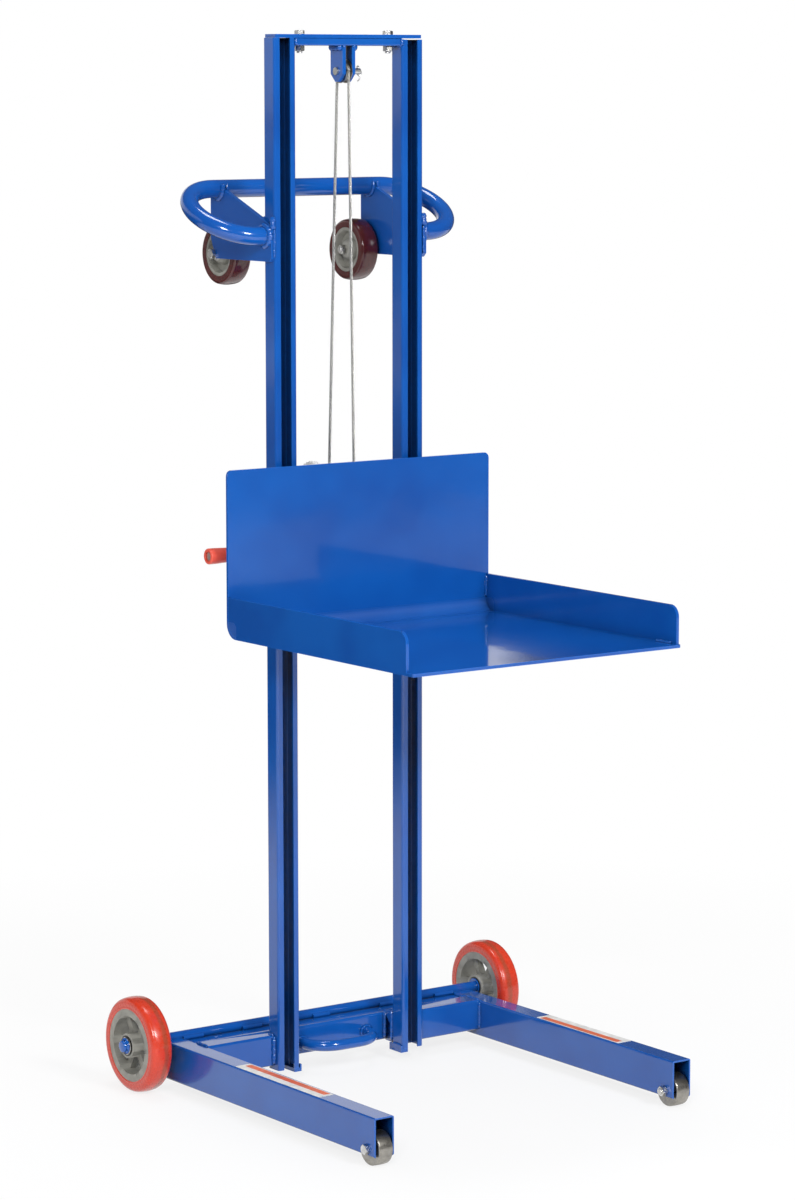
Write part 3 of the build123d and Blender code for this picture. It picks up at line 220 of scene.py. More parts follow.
def set_inputs(tree, node, **values):
    """Set a node's inputs and settings by name, with underscores for spaces."""
    for key, value in values.items():
        label = key.replace("_", " ").lower()
        found = [entry for entry in node.inputs if entry.name.lower() == label]
        if found:
            feed(tree, value, found[0])
        else:
            setattr(node, key, value)


def add_node(tree, kind, **values):
    """Node of a kind, with its inputs and settings set by name."""
    node = tree.nodes.new(kind)
    set_inputs(tree, node, **values)
    return node


def maths(tree, operation, *values, kind="ShaderNodeMath"):
    """Result of a math node, or of a vector math node that gives one number."""
    node = add_node(tree, kind, operation=operation)
    for value, entry in zip(values, node.inputs):
        feed(tree, value, entry)
    return node.outputs["Value"]


def coordinates(tree, kind="Object"):
    """Coordinates as one vector, and split into X, Y and Z."""
    place = tree.nodes.new("ShaderNodeTexCoord").outputs[kind]
    return place, add_node(tree, "ShaderNodeSeparateXYZ", vector=place).outputs


def colour4(colour):
    """Colour with full opacity."""
    return (*colour, 1.0)


def shade(colour, share):
    """Darker tone of a colour."""
    return tuple(c * share for c in colour)


def grain(tree, scale, detail, roughness=0.55, place=None):
    """Noise from 0 to 1, over the piece's own metres where no other place is given."""
    if place is None:
        place = tree.nodes.new("ShaderNodeTexCoord").outputs["Object"]
    return add_node(tree, "ShaderNodeTexNoise", vector=place, scale=scale, detail=detail,
                    roughness=roughness).outputs["Fac"]


def spread(tree, value, low, high, start=0.35, end=0.65):
    """Value from one range moved into another."""
    moved = add_node(tree, "ShaderNodeMapRange", value=value, from_min=start, from_max=end,
                     to_min=low, to_max=high)
    return moved.outputs["Result"]


def tint(tree, share, first, second):
    """Mix of two colours."""
    mixed = add_node(tree, "ShaderNodeMix", data_type="RGBA", factor=share)
    feed(tree, first, mixed.inputs[6])
    feed(tree, second, mixed.inputs[7])
    return mixed.outputs[2]


def cloud(tree, scale, detail, dark, bright):
    """Colour clouded between two others."""
    return tint(tree, spread(tree, grain(tree, scale, detail), 0.0, 1.0), colour4(dark), colour4(bright))


def mixed_shader(tree, share, first, second):
    """Mix of two shaders."""
    mixed = tree.nodes.new("ShaderNodeMixShader")
    for value, entry in zip((share, first, second), mixed.inputs):
        feed(tree, value, entry)
    return mixed.outputs["Shader"]


def glow(tree, strength):
    """White light from a face."""
    return add_node(tree, "ShaderNodeEmission", color=WHITE, strength=strength).outputs["Emission"]


def relief(tree, height, strength, depth):
    """Bump from a height."""
    bump = add_node(tree, "ShaderNodeBump", height=height, strength=strength, distance=depth)
    return bump.outputs["Normal"]


def edge_mask(tree, radius):
    """1 along the edges, where the enamel gets a painted highlight, 0 on flat faces."""
    rounded = add_node(tree, "ShaderNodeBevel", samples=4, radius=radius)
    face = tree.nodes.new("ShaderNodeNewGeometry")
    facing = maths(tree, "DOT_PRODUCT", rounded.outputs["Normal"], face.outputs["Normal"],
                   kind="ShaderNodeVectorMath")
    return spread(tree, facing, 1.0, 0.0, 0.80, 0.985)


def crevice_shade_mask(tree, reach):
    """Mask for painted shade: 0 deep inside tubes, channels and corners, 1 on open faces."""
    cover = add_node(tree, "ShaderNodeAmbientOcclusion", samples=6, distance=reach)
    return spread(tree, cover.outputs["AO"], 0.0, 1.0, 0.16, 0.58)


def finish(name):
    """New material with its principled shader."""
    material = bpy.data.materials.new(name)
    material.use_nodes = True
    tree = material.node_tree
    return material, tree, tree.nodes["Principled BSDF"]


def source_of(shader, label):
    """Output that feeds one of a shader's inputs."""
    return shader.inputs[label].links[0].from_socket


def clouded(name, dark, bright, tone, gloss, bump, **values):
    """Material clouded between two colours.

    The tone is the scale and detail of the cloud's noise. The gloss is the same with the lowest and
    the highest roughness, and the bump the same with its strength and depth.
    """
    material, tree, shader = finish(name)
    set_inputs(tree, shader, base_color=cloud(tree, *tone, dark, bright),
               roughness=spread(tree, grain(tree, *gloss[:2]), *gloss[2:]),
               normal=relief(tree, grain(tree, *bump[:2]), *bump[2:]), **values)
    return material


def blue_enamel(settings):
    """Glossy sprayed enamel with faint orange peel, a painted highlight along the edges and painted shade
    inside the tubes, channels and corners.
    """
    material, tree, shader = finish("blue_enamel")
    base = cloud(tree, 7.0, 2.0, settings.enamel_deep, settings.enamel)
    # Painted highlight: the enamel turns paler along the edges
    highlight_tone = tuple(min(1.0, c * 1.7 + 0.008) for c in settings.enamel)
    with_edge_highlight = tint(tree, edge_mask(tree, 0.0012), base, colour4(highlight_tone))
    # Painted shade: near-black colour where the occlusion is deep, inside tubes and channels and in corners
    with_crevice_shade = tint(tree, crevice_shade_mask(tree, 0.045), (0.001, 0.004, 0.016, 1.0), with_edge_highlight)
    wave = add_node(tree, "ShaderNodeBump", height=grain(tree, 9.0, 1.0), strength=0.10, distance=0.004,
                    normal=relief(tree, grain(tree, 260.0, 1.0), 0.05, 0.0006)).outputs["Normal"]
    set_inputs(tree, shader, base_color=with_crevice_shade, roughness=spread(tree, grain(tree, 900.0, 2.0), 0.13, 0.20),
               coat_weight=0.6, coat_roughness=0.03, ior=1.45, normal=wave, coat_normal=wave)
    return material


def tray_enamel(enamel, bend):
    """Copy of the enamel that is duller along the sheet's bend between the back plate and the deck."""
    material = enamel.copy()
    material.name = "tray_enamel"
    tree = material.node_tree
    shader = tree.nodes["Principled BSDF"]
    axes = coordinates(tree)[1]
    dull = maths(tree, "MULTIPLY", spread(tree, axes["Y"], 0.0, 1.0, bend.y - 0.012, bend.y + 0.004),
                 spread(tree, axes["Z"], 1.0, 0.0, bend.z - 0.004, bend.z + 0.012))
    rough = spread(tree, dull, 0.0, 0.46, 0.0, 1.0)
    set_inputs(tree, shader, coat_weight=spread(tree, dull, 0.6, 0.0, 0.0, 1.0),
               roughness=maths(tree, "MAXIMUM", source_of(shader, "Roughness"), rough))
    return material


def metal(name, colour, rough_low, rough_high, streak=(60.0, 60.0, 60.0), darker=0.72, metallic=1.0):
    """Bare or plated metal whose grain runs as the streak scales say."""
    material, tree, shader = finish(name)
    place = tree.nodes.new("ShaderNodeTexCoord").outputs["Object"]
    stretch = add_node(tree, "ShaderNodeMapping", vector=place, scale=streak)
    lines = grain(tree, 10.0, 4.0, 0.6, stretch.outputs["Vector"])
    set_inputs(tree, shader, base_color=cloud(tree, 90.0, 3.0, shade(colour, darker), colour),
               roughness=spread(tree, lines, rough_low, rough_high), metallic=metallic,
               normal=relief(tree, lines, 0.12, 0.0003))
    return material


def polyurethane(name, colour, gloss, darker=0.78):
    """Cast polyurethane tread, slightly clouded, with a fine scuffed grain."""
    return clouded(name, shade(colour, darker), colour, (22.0, 4.0), (160.0, 3.0, gloss, gloss + 0.12),
                   (420.0, 3.0, 0.10, 0.0004), subsurface_weight=0.08, subsurface_scale=0.004,
                   coat_weight=0.35, coat_roughness=0.12)


def red_tread(settings):
    """Red cast tread with a brownish, uneven parting band a little inboard of the middle."""
    colour = settings.red_tread
    band_place = 0.3405
    wander = 0.006
    band_half, fade_end = 0.0022, 0.0060
    material = clouded("red_polyurethane", shade(colour, 0.88), colour, (30.0, 4.0),
                       (160.0, 3.0, 0.22, 0.36), (420.0, 3.0, 0.04, 0.0003),
                       coat_weight=0.4, coat_roughness=0.10)
    tree = material.node_tree
    shader = tree.nodes["Principled BSDF"]
    away = maths(tree, "ABSOLUTE", coordinates(tree)[1]["X"])
    offset = maths(tree, "SUBTRACT", away, band_place)
    uneven = maths(tree, "MULTIPLY_ADD", grain(tree, 55.0, 3.0), wander, offset)
    reach = maths(tree, "ABSOLUTE", maths(tree, "SUBTRACT", uneven, wander / 2))
    band = spread(tree, reach, 0.62, 0.0, band_half, fade_end)
    base = tint(tree, band, source_of(shader, "Base Color"), (0.24, 0.055, 0.022, 1.0))
    feed(tree, base, shader.inputs["Base Color"])
    return material


def cast_core(settings):
    """Grey cast wheel core with a sand grain."""
    colour = settings.wheel_core
    return clouded("cast_core", shade(colour, 0.7), colour, (60.0, 5.0), (300.0, 3.0, 0.42, 0.62),
                   (700.0, 4.0, 0.25, 0.0005))


def tape_film(name, colour):
    """Printed film that has yellowed and rubbed a little."""
    return clouded(name, shade(colour, 0.80), colour, (70.0, 4.0), (240.0, 2.0, 0.30, 0.5),
                   (350.0, 3.0, 0.10, 0.0002))


def dark_bearing():
    """Oiled black sleeve."""
    return clouded("dark_bearing", (0.008, 0.008, 0.009), (0.028, 0.027, 0.026), (180.0, 3.0),
                   (400.0, 2.0, 0.30, 0.5), (600.0, 3.0, 0.12, 0.0003))


def rope_steel():
    """Bright drawn wire with painted shade in the grooves between the strands and on their flanks."""
    steel = metal("rope_steel", (0.84, 0.83, 0.79), 0.26, 0.42, (400.0, 400.0, 400.0), 0.85)
    tree = steel.node_tree
    shader = tree.nodes["Principled BSDF"]
    # Painted shade: the grooves and the strands' flanks turn near black where the occlusion is deep
    cover = add_node(tree, "ShaderNodeAmbientOcclusion", samples=8, distance=0.0025)
    unshaded_share = spread(tree, cover.outputs["AO"], 0.0, 1.0, 0.68, 0.96)
    base = tint(tree, unshaded_share, (0.012, 0.011, 0.010, 1.0), source_of(shader, "Base Color"))
    feed(tree, base, shader.inputs["Base Color"])
    return steel


def use_finish(names, material):
    """Show CAD nodes in a finish."""
    for name in names:
        piece = nodes[name]
        if not piece.material_slots:
            piece.data.materials.append(material)
        for entry in piece.material_slots:
            entry.link = "OBJECT"
            entry.material = material


def soften(names, radius):
    """Round the sharp edges of CAD nodes for the light."""
    for name in names:
        rounding = nodes[name].modifiers.new("edge_round", "BEVEL")
        rounding.width = radius
        rounding.segments = 2
        rounding.limit_method = "ANGLE"
        rounding.angle_limit = radians(50)
        rounding.use_clamp_overlap = True
        rounding.harden_normals = False


# Mesh work

def link_mesh(name, mesh, material):
    """Object in the scene from a finished mesh."""
    mesh.normal_update()
    data = bpy.data.meshes.new(name)
    mesh.to_mesh(data)
    mesh.free()
    data.materials.append(material)
    piece = bpy.data.objects.new(name, data)
    bpy.context.scene.collection.objects.link(piece)
    return piece


def show(name, mesh, material, body, replaces=()):
    """Piece from a finished mesh, which rides on a body and may take CAD nodes' place."""
    piece = link_mesh(name, mesh, material)
    if body is not None:
        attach(piece, body)
    if replaces:
        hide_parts(*replaces)
    return piece


def reshaped(node, move):
    """Copy of a node's mesh in the shared frame, each vertex moved by the function."""
    source = nodes[node]
    mesh = bmesh.new()
    mesh.from_mesh(source.data)
    mesh.transform(source.matrix_world)
    for vert in mesh.verts:
        vert.co = move(vert.co.copy())
    tiny = 0.000005
    bmesh.ops.remove_doubles(mesh, verts=mesh.verts[:], dist=tiny)
    bmesh.ops.dissolve_degenerate(mesh, edges=mesh.edges[:], dist=tiny)
    return mesh


def shade_by_angle(piece):
    """Round faces shade smoothly and corners stay crisp."""
    for polygon in piece.data.polygons:
        polygon.use_smooth = True
    piece.data.set_sharp_from_angle(angle=radians(32))


def ring_of(mesh, points):
    """Vertices at the points."""
    return [mesh.verts.new(p) for p in points]


def skin(mesh, rows, smooth=True):
    """Quads from each row of vertices to the next one."""
    for first, second in zip(rows, rows[1:]):
        for i in range(len(first)):
            after = (i + 1) % len(first)
            face = mesh.faces.new((first[i], first[after], second[after], second[i]))
            face.smooth = smooth


def cap_row(mesh, row, outward):
    """Close a row of vertices with one face that looks outward."""
    face = mesh.faces.new(row)
    face.normal_update()
    if face.normal.dot(outward) < 0:
        face.normal_flip()


def axes_round(direction):
    """Two unit vectors square to a direction."""
    side = direction.orthogonal().normalized()
    return side, direction.cross(side).normalized()


def around(axes, angle):
    """Unit vector at an angle from the first of two axes towards the second."""
    return axes[0] * cos(angle) + axes[1] * sin(angle)


def circle(centre, axes, radius, count):
    """Points round a centre."""
    return [centre + around(axes, 2 * pi * i / count) * radius for i in range(count)]


def lathe(mesh, centre, direction, profile, count=64, smooth=True):
    """Turn a profile of (along, radius) pairs about a line through the centre."""
    direction = Vector(direction).normalized()
    axes = axes_round(direction)
    rows = [ring_of(mesh, circle(centre + direction * along, axes, radius, count))
            for along, radius in profile]
    skin(mesh, rows, smooth)


def hex_block(mesh, seat, direction, flats, height, both=False, turn=0.0):
    """Bolt head or nut: a hexagon whose corners a cone has cut, on one face or on both."""
    direction = Vector(direction).normalized()
    axes = axes_round(direction)
    steps = 48
    half = flats / 2
    chamfer_share = 0.93
    inner = half * chamfer_share
    slope = tan(radians(30))
    corners = []
    for i in range(steps):
        angle = 2 * pi * i / steps
        reach = half / cos((angle + pi / 6) % (pi / 3) - pi / 6)
        corners.append((angle + turn, reach, max(0.0, (reach - inner) * slope)))

    def circle_row(level):
        """Circle a little inside the flats."""
        return ring_of(mesh, [seat + direction * level + around(axes, angle) * inner
                              for angle, _, _ in corners])

    def hexagon_row(level, way):
        """Hexagon whose corners are raised (1), lowered (-1) or left level (0)."""
        return ring_of(mesh, [seat + direction * (level + way * drop) + around(axes, angle) * reach
                              for angle, reach, drop in corners])

    rows = [circle_row(0.0), hexagon_row(0.0, 1)] if both else [hexagon_row(0.0, 0)]
    rows += [hexagon_row(height, -1), circle_row(height)]
    skin(mesh, rows, smooth=False)
    cap_row(mesh, rows[-1], direction)
    cap_row(mesh, rows[0], -direction)


def thread(mesh, start, direction, radius, length):
    """Threaded stub with a chamfered end."""
    direction = Vector(direction).normalized()
    axes = axes_round(direction)
    pitch = 0.0015
    depth = radius * 0.14
    chamfer = radius * 0.2
    count = 20
    steps = max(2, ceil(length / (pitch / 4)))
    rows = []
    for step in range(steps + 1):
        along = length * step / steps
        points = []
        for i in range(count):
            angle = 2 * pi * i / count
            wave = 0.5 + 0.5 * cos(2 * pi * along / pitch - angle)
            cut = chamfer if step == steps else depth * wave
            points.append(start + direction * along + around(axes, angle) * (radius - cut))
        rows.append(ring_of(mesh, points))
    skin(mesh, rows)
    cap_row(mesh, rows[-1], direction)
    cap_row(mesh, rows[0], -direction)


def washer(mesh, seat, direction, inner, outer, thickness):
    """Flat washer with softened rims."""
    ease = thickness * 0.2
    profile = [(0.0, inner), (0.0, outer - ease), (ease, outer), (thickness - ease, outer),
               (thickness, outer - ease), (thickness, inner), (0.0, inner)]
    lathe(mesh, seat, direction, profile, 40, smooth=False)


def bolt(mesh, seat, direction, grip, turn=0.0):
    """Hexagon bolt whose head stands on the seat and whose nut closes the far side of the grip."""
    direction = Vector(direction).normalized()
    hex_block(mesh, seat, direction, BOLT_FLATS, HEAD_HEIGHT, turn=turn)
    lathe(mesh, seat, direction, [(0.0, BOLT_RADIUS), (-grip, BOLT_RADIUS)], 24)
    far = seat - direction * (grip + NUT_HEIGHT)
    hex_block(mesh, far, direction, BOLT_FLATS, NUT_HEIGHT, both=True, turn=turn + 0.4)
    thread(mesh, far, -direction, BOLT_RADIUS, BOLT_TIP)


def frames_along(path):
    """Cross vectors at each point, carried along the path without a twist."""
    found = []
    side = None
    for i in range(len(path)):
        ahead = path[min(i + 1, len(path) - 1)] - path[max(i - 1, 0)]
        ahead.normalize()
        if side is None:
            side = ahead.orthogonal().normalized()
        side = (side - ahead * side.dot(ahead)).normalized()
        found.append((side, ahead.cross(side).normalized()))
    return found


def bar_along(mesh, path, radii, count):
    """Round bar along points, with a radius for each point and closed ends."""
    rows = [ring_of(mesh, circle(point, axes, radius, count))
            for point, axes, radius in zip(path, frames_along(path), radii)]
    skin(mesh, rows)
    cap_row(mesh, rows[0], path[0] - path[1])
    cap_row(mesh, rows[-1], path[-1] - path[-2])


def strands_along(mesh, path, radius, settings):
    """Wire rope: strands that twist round the path's line, and a core."""
    count = settings.strands
    strand = radius * 0.30
    ring = radius - strand
    length = [0.0]
    for first, second in zip(path, path[1:]):
        length.append(length[-1] + (second - first).length)
    across = frames_along(path)
    for number in range(count):
        line = [point + around(axes, 2 * pi * (number / count + run / settings.lay)) * ring
                for point, axes, run in zip(path, across, length)]
        bar_along(mesh, line, [strand] * len(line), 6)
    bar_along(mesh, path, [radius * 0.36] * len(path), 6)


def rounded_line(points, steps):
    """Points of a smooth curve through the given points."""
    line = []
    for i in range(len(points) - 1):
        before, first = points[max(0, i - 1)], points[i]
        second, after = points[i + 1], points[min(len(points) - 1, i + 2)]
        for step in range(steps):
            t = step / steps
            line.append(first * (1 - 2.5 * t ** 2 + 1.5 * t ** 3)
                        + second * (0.5 * t + 2 * t ** 2 - 1.5 * t ** 3)
                        + before * (-0.5 * t + t ** 2 - 0.5 * t ** 3)
                        + after * (-0.5 * t ** 2 + 0.5 * t ** 3))
    line.append(points[-1])
    return line


def on_circle(centre, radius, angle, x=0.0):
    """Point round a centre in a plane across X, its angle from +Y towards +Z."""
    return Vector((x, centre.y + radius * cos(angle), centre.z + radius * sin(angle)))


def arc_points(centre, radius, first, last, steps, x=0.0):
    """Even points on an arc in a plane across X."""
    return [on_circle(centre, radius, first + (last - first) * i / steps, x) for i in range(steps + 1)]


def line_points(first, last, step):
    """Even points on a straight run."""
    count = max(1, ceil((last - first).length / step))
    return [first.lerp(last, i / count) for i in range(count + 1)]


def bead_along(mesh, path, settings, size, seed):
    """Weld bead along points: a bar with uneven ripples and rounded ends."""
    last = len(path) - 1
    radii = []
    for i in range(len(path)):
        wave = sin(i * 2.1 + seed) * 0.6 + sin(i * 0.83 + seed * 1.7) * 0.4
        ends = min(1.0, 0.45 + 0.4 * min(i, last - i))
        radii.append(settings.bead * size * ends * (1.0 + settings.ripple * wave))
    bar_along(mesh, path, radii, 10)


def run_beads(mesh, settings, side, seams):
    """Straight beads as (x, y, z, size, seed), with a pair for each coordinate that changes.

    The side, 1 or -1, turns their X.
    """
    for *place, size, seed in seams:
        ends = [Vector([c[end] if isinstance(c, tuple) else c for c in place]) for end in (0, 1)]
        for point in ends:
            point.x *= side
        bead_along(mesh, line_points(*ends, BEAD_STEP), settings, size, seed)


def arc_bead(mesh, settings, centre, first, last, size, seed):
    """Bead round the handle's tube, from one angle in degrees to another."""
    radius = HANDLE_RADIUS + 0.0010
    steps = max(8, ceil(radius * radians(last - first) / BEAD_STEP))
    points = arc_points(centre, radius, radians(first), radians(last), steps, centre.x)
    bead_along(mesh, points, settings, size, seed)


# Operators

class LIFT_OT_paint_frame(bpy.types.Operator):
    """Cover the welded frame, the tray and the handle in blue enamel."""
    bl_idname = "lift.paint_frame"
    bl_label = "Paint the frame"

    def execute(self, context):
        settings = context.scene.lift_finish
        enamel = blue_enamel(settings)
        use_finish(PAINTED, enamel)
        low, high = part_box("platform_back_plate")
        bend = nodes["platform_back_plate"].matrix_world.inverted() @ Vector(
            (0.0, high.y - TRAY_BEND, low.z + TRAY_BEND))
        use_finish(TRAY, tray_enamel(enamel, bend))
        for name in ("left_front_tube", "right_front_tube"):
            shade_by_angle(show(f"{name}_butted", reshaped(name, self.butt_inner_end), enamel, "mast",
                                (name,)))
        soften(ROUNDED, settings.edge_round)
        return {"FINISHED"}

    def butt_inner_end(self, place):
        """The tubes end level with the uprights' inner faces."""
        reach = abs(place.x)
        if reach < MAST_INNER + NEAR:
            end = HOLLOW_END if abs(reach - CAD_HOLLOW_END) < NEAR else CLOSED_END
            place.x = end if place.x > 0 else -end
        return place


class LIFT_OT_finish_metal(bpy.types.Operator):
    """Give the winch its plating and the rollers their turned steel."""
    bl_idname = "lift.finish_metal"
    bl_label = "Finish the bare metal"

    def execute(self, context):
        settings = context.scene.lift_finish
        use_finish(PLATED, metal("zinc_plate", settings.zinc, 0.28, 0.45))
        use_finish(PALE, metal("pale_zinc", (0.90, 0.90, 0.88), 0.50, 0.62, metallic=0.25))
        use_finish(TURNED, metal("turned_steel", (0.42, 0.40, 0.36), 0.24, 0.42, (300.0, 20.0, 20.0)))
        return {"FINISHED"}


class LIFT_OT_finish_wheels(bpy.types.Operator):
    """Give the wheels their treads, cores and bearings, and the crank its grip."""
    bl_idname = "lift.finish_wheels"
    bl_label = "Finish the wheels"

    def execute(self, context):
        settings = context.scene.lift_finish
        red = red_tread(settings)
        for side in ("left", "right"):
            self.mould_tyre(side, red)
        use_finish(MAROON_TYRES, polyurethane("maroon_polyurethane", settings.maroon_tread, 0.14, 0.9))
        core = cast_core(settings)
        use_finish(CORES, core)
        for kind, webs in WEBS.items():
            for side in ("left", "right"):
                self.deepen_core(f"{side}_{kind}", *webs, core)
        use_finish(BEARINGS, dark_bearing())
        use_finish(("crank_grip",), polyurethane("grip_rubber", settings.grip_rubber, 0.36))
        return {"FINISHED"}

    def deepen_core(self, wheel, half_web, thinner, material):
        """Wheel core whose web is thinner than in the CAD, so that the dish is deeper."""
        name = f"{wheel}_hub"
        centre = middle(name).x

        def move(place):
            """The web's faces come closer together."""
            offset = place.x - centre
            if abs(abs(offset) - half_web) < NEAR:
                place.x = centre + (thinner if offset > 0 else -thinner)
            return place

        shade_by_angle(show(f"{name}_casting", reshaped(name, move), material, f"{wheel}_wheel",
                            (name,)))

    def mould_tyre(self, side, material):
        """Rear tyre with a crowned tread, rounded shoulders and a bead beside the rim."""
        name = f"{side}_rear_tyre"
        low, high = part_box(name)
        half = (high.x - low.x) / 2
        top = (high.z - low.z) / 2
        # Bead beside the rim, then the rounded shoulder, each as steps from the tyre's edges
        shoulder = 0.0088
        flank = [(-half + inward, TYRE_RIM + up) for inward, up in
                 ((0.001, 0.0), (0.0, 0.001), (0.0, 0.003), (0.0006, 0.0038), (0.0004, 0.0046))]
        for step in range(9):
            angle = radians(-86 + 9 * step)
            flank.append((-half + 0.0092 + shoulder * sin(angle), top - 0.0098 + shoulder * cos(angle)))
        edge, lowest = flank[-1]
        crown = []
        for step in range(1, 24):
            along = edge * (1 - step / 12)
            crown.append((along, top - (top - lowest) * (along / edge) ** 2))
        mirrored = [(-along, radius) for along, radius in reversed(flank)]
        mesh = bmesh.new()
        lathe(mesh, middle(name), (1, 0, 0), flank + crown + mirrored, 128)
        show(f"{name}_mould", mesh, material, f"{side}_rear_wheel", (name,))


class LIFT_OT_fit_bolts(bpy.types.Operator):
    """Fit chamfered bolts, threads and nuts, and the push nuts on the rear axle."""
    bl_idname = "lift.fit_bolts"
    bl_label = "Fit the bolts"

    def execute(self, context):
        zinc = metal("bolt_zinc", (0.80, 0.79, 0.76), 0.20, 0.36)
        self.cap_bolts(zinc)
        self.wheel_bolts(zinc)
        self.winch_bolts(zinc)
        self.axle_ends(zinc)
        self.bend_cotter(zinc)
        return {"FINISHED"}

    def cap_bolts(self, zinc):
        """Two bolts down through the cap plate and the top cross tube."""
        low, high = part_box("cap_bolts")
        mid = (low + high) / 2
        reach = (high.x - low.x - BOLT_FLATS / cos(pi / 6)) / 2
        seat_z = high.z - HEAD_HEIGHT
        grip = seat_z - low.z - NUT_HEIGHT - BOLT_TIP
        mesh = bmesh.new()
        for side, turn in ((-1, 0.5), (1, 0.15)):
            bolt(mesh, Vector((side * reach, mid.y, seat_z)), (0, 0, 1), grip, turn)
        show("cap_hex_bolts", mesh, zinc, "mast", ("cap_bolts",))

    def wheel_bolts(self, zinc):
        """Bolts of the front rollers and of the upper wheels, and the upper wheels' washers."""
        low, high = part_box("left_leg")
        roller = middle("left_front_roller")
        wheel = middle("left_upper_hub")
        hub_half = (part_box("left_upper_hub")[1].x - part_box("left_upper_hub")[0].x) / 2
        mesh = bmesh.new()
        for side in (-1, 1):
            bolt(mesh, Vector((side * -low.x, roller.y, roller.z)), (side, 0, 0), high.x - low.x,
                 0.3 + 0.2 * side)
            grip = BRACKET_FACE + wheel.x + hub_half + WHEEL_PLAY
            bolt(mesh, Vector((side * BRACKET_FACE, wheel.y, wheel.z)), (side, 0, 0), grip, 0.2)
            gap = MAST_FACE + wheel.x - hub_half - WHEEL_PLAY
            washer(mesh, Vector((side * MAST_FACE, wheel.y, wheel.z)), (-side, 0, 0), BOLT_RADIUS, 0.011,
                   gap)
        show("wheel_hex_bolts", mesh, zinc, "mast", ("wheel_bolts",))

    def winch_bolts(self, zinc):
        """Four bolts that hold the winch's frame to its plate."""
        low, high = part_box("winch_bolts")
        seat_y = high.y - HEAD_HEIGHT
        grip = seat_y - low.y - NUT_HEIGHT - BOLT_TIP
        mesh = bmesh.new()
        for i, (x, z) in enumerate(WINCH_BOLTS):
            bolt(mesh, Vector((x, seat_y, z)), (0, 1, 0), grip, 0.35 * i)
        show("winch_hex_bolts", mesh, zinc, "mast", ("winch_bolts",))

    def bend_cotter(self, zinc):
        """Split pin whose eye sits on the sheave pin, one leg bent down and one round the pin's end."""
        x = middle("cotter_pin").x
        pin = middle("sheave_pin")
        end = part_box("sheave_pin")[1].x
        # X of each point, and its Y and Z from the pin's middle: the long leg, the eye, the short leg
        bends = ((x - 0.0022, -0.0016, -0.0152), (x + 0.0004, -0.0016, -0.0140),
                 (x + 0.0024, -0.0014, -0.0112), (x + 0.0022, -0.0012, -0.0082), (x, -0.0010, -0.0052),
                 (x, -0.0010, 0.0040), (x, -0.0024, 0.0052), (x, -0.0020, 0.0072), (x, 0.0, 0.0080),
                 (x, 0.0020, 0.0072), (x, 0.0024, 0.0052), (x, 0.0010, 0.0040),
                 (x, 0.0010, -0.0052), (x + 0.0016, -0.0006, -0.0070), (end + 0.0006, -0.0020, -0.0058),
                 (end + 0.0014, -0.0026, -0.0020), (end + 0.0012, -0.0026, 0.0006))
        line = rounded_line([Vector((px, pin.y + dy, pin.z + dz)) for px, dy, dz in bends], 5)
        wire_radius = 0.0009
        mesh = bmesh.new()
        bar_along(mesh, line, [wire_radius] * len(line), 8)
        show("cotter_wire", mesh, zinc, "mast", ("cotter_pin",))

    def axle_ends(self, zinc):
        """Washers each side of the rear wheels, and star push nuts on the blue axle's ends."""
        axle = middle("rear_axle")
        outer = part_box("axle_retainers")[1].x
        hub_low, hub_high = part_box("right_rear_hub")
        thickness = 0.002
        washers = bmesh.new()
        nuts = bmesh.new()
        for side in (-1, 1):
            for mesh, face, way in ((nuts, hub_low.x - WHEEL_PLAY, -1),
                                    (washers, hub_high.x + WHEEL_PLAY, 1)):
                washer(mesh, Vector((side * face, axle.y, axle.z)), (side * way, 0, 0), AXLE_RADIUS,
                       0.0140, thickness)
            start = Vector((side * (hub_high.x + WHEEL_PLAY + thickness), axle.y, axle.z))
            self.star_nut(nuts, start, side)
            length = outer - abs(start.x)
            profile = [(0.0, AXLE_RADIUS), (length - 0.002, AXLE_RADIUS), (length - 0.0006, 0.0088),
                       (length, 0.0070), (length, 0.0001)]
            lathe(nuts, start, (side, 0, 0), profile, 40)
        show("axle_washers", washers, zinc, "mast", ("axle_retainers",))
        show("axle_push_nuts", nuts, nodes["rear_axle"].material_slots[0].material, "mast")

    def star_nut(self, mesh, start, side):
        """Dished disc whose inner tongues grip the axle."""
        count = 96
        tongues = 8
        rows = []
        # Along the axle, radius at the tongues, and depth of the gaps between them
        for along, reach, depth in ((0.0002, 0.0128, 0.0), (0.0010, 0.0132, 0.0), (0.0022, 0.0118, 0.0),
                                    (0.0034, 0.0106, 0.0012), (0.0040, 0.0099, 0.0022)):
            points = []
            for i in range(count):
                angle = 2 * pi * i / count
                tongue = 0.5 + 0.5 * cos(tongues * angle)
                radius = reach + depth * (1 - tongue) ** 3
                points.append(start + Vector((side * along, cos(angle) * radius, sin(angle) * radius)))
            rows.append(ring_of(mesh, points))
        skin(mesh, rows)


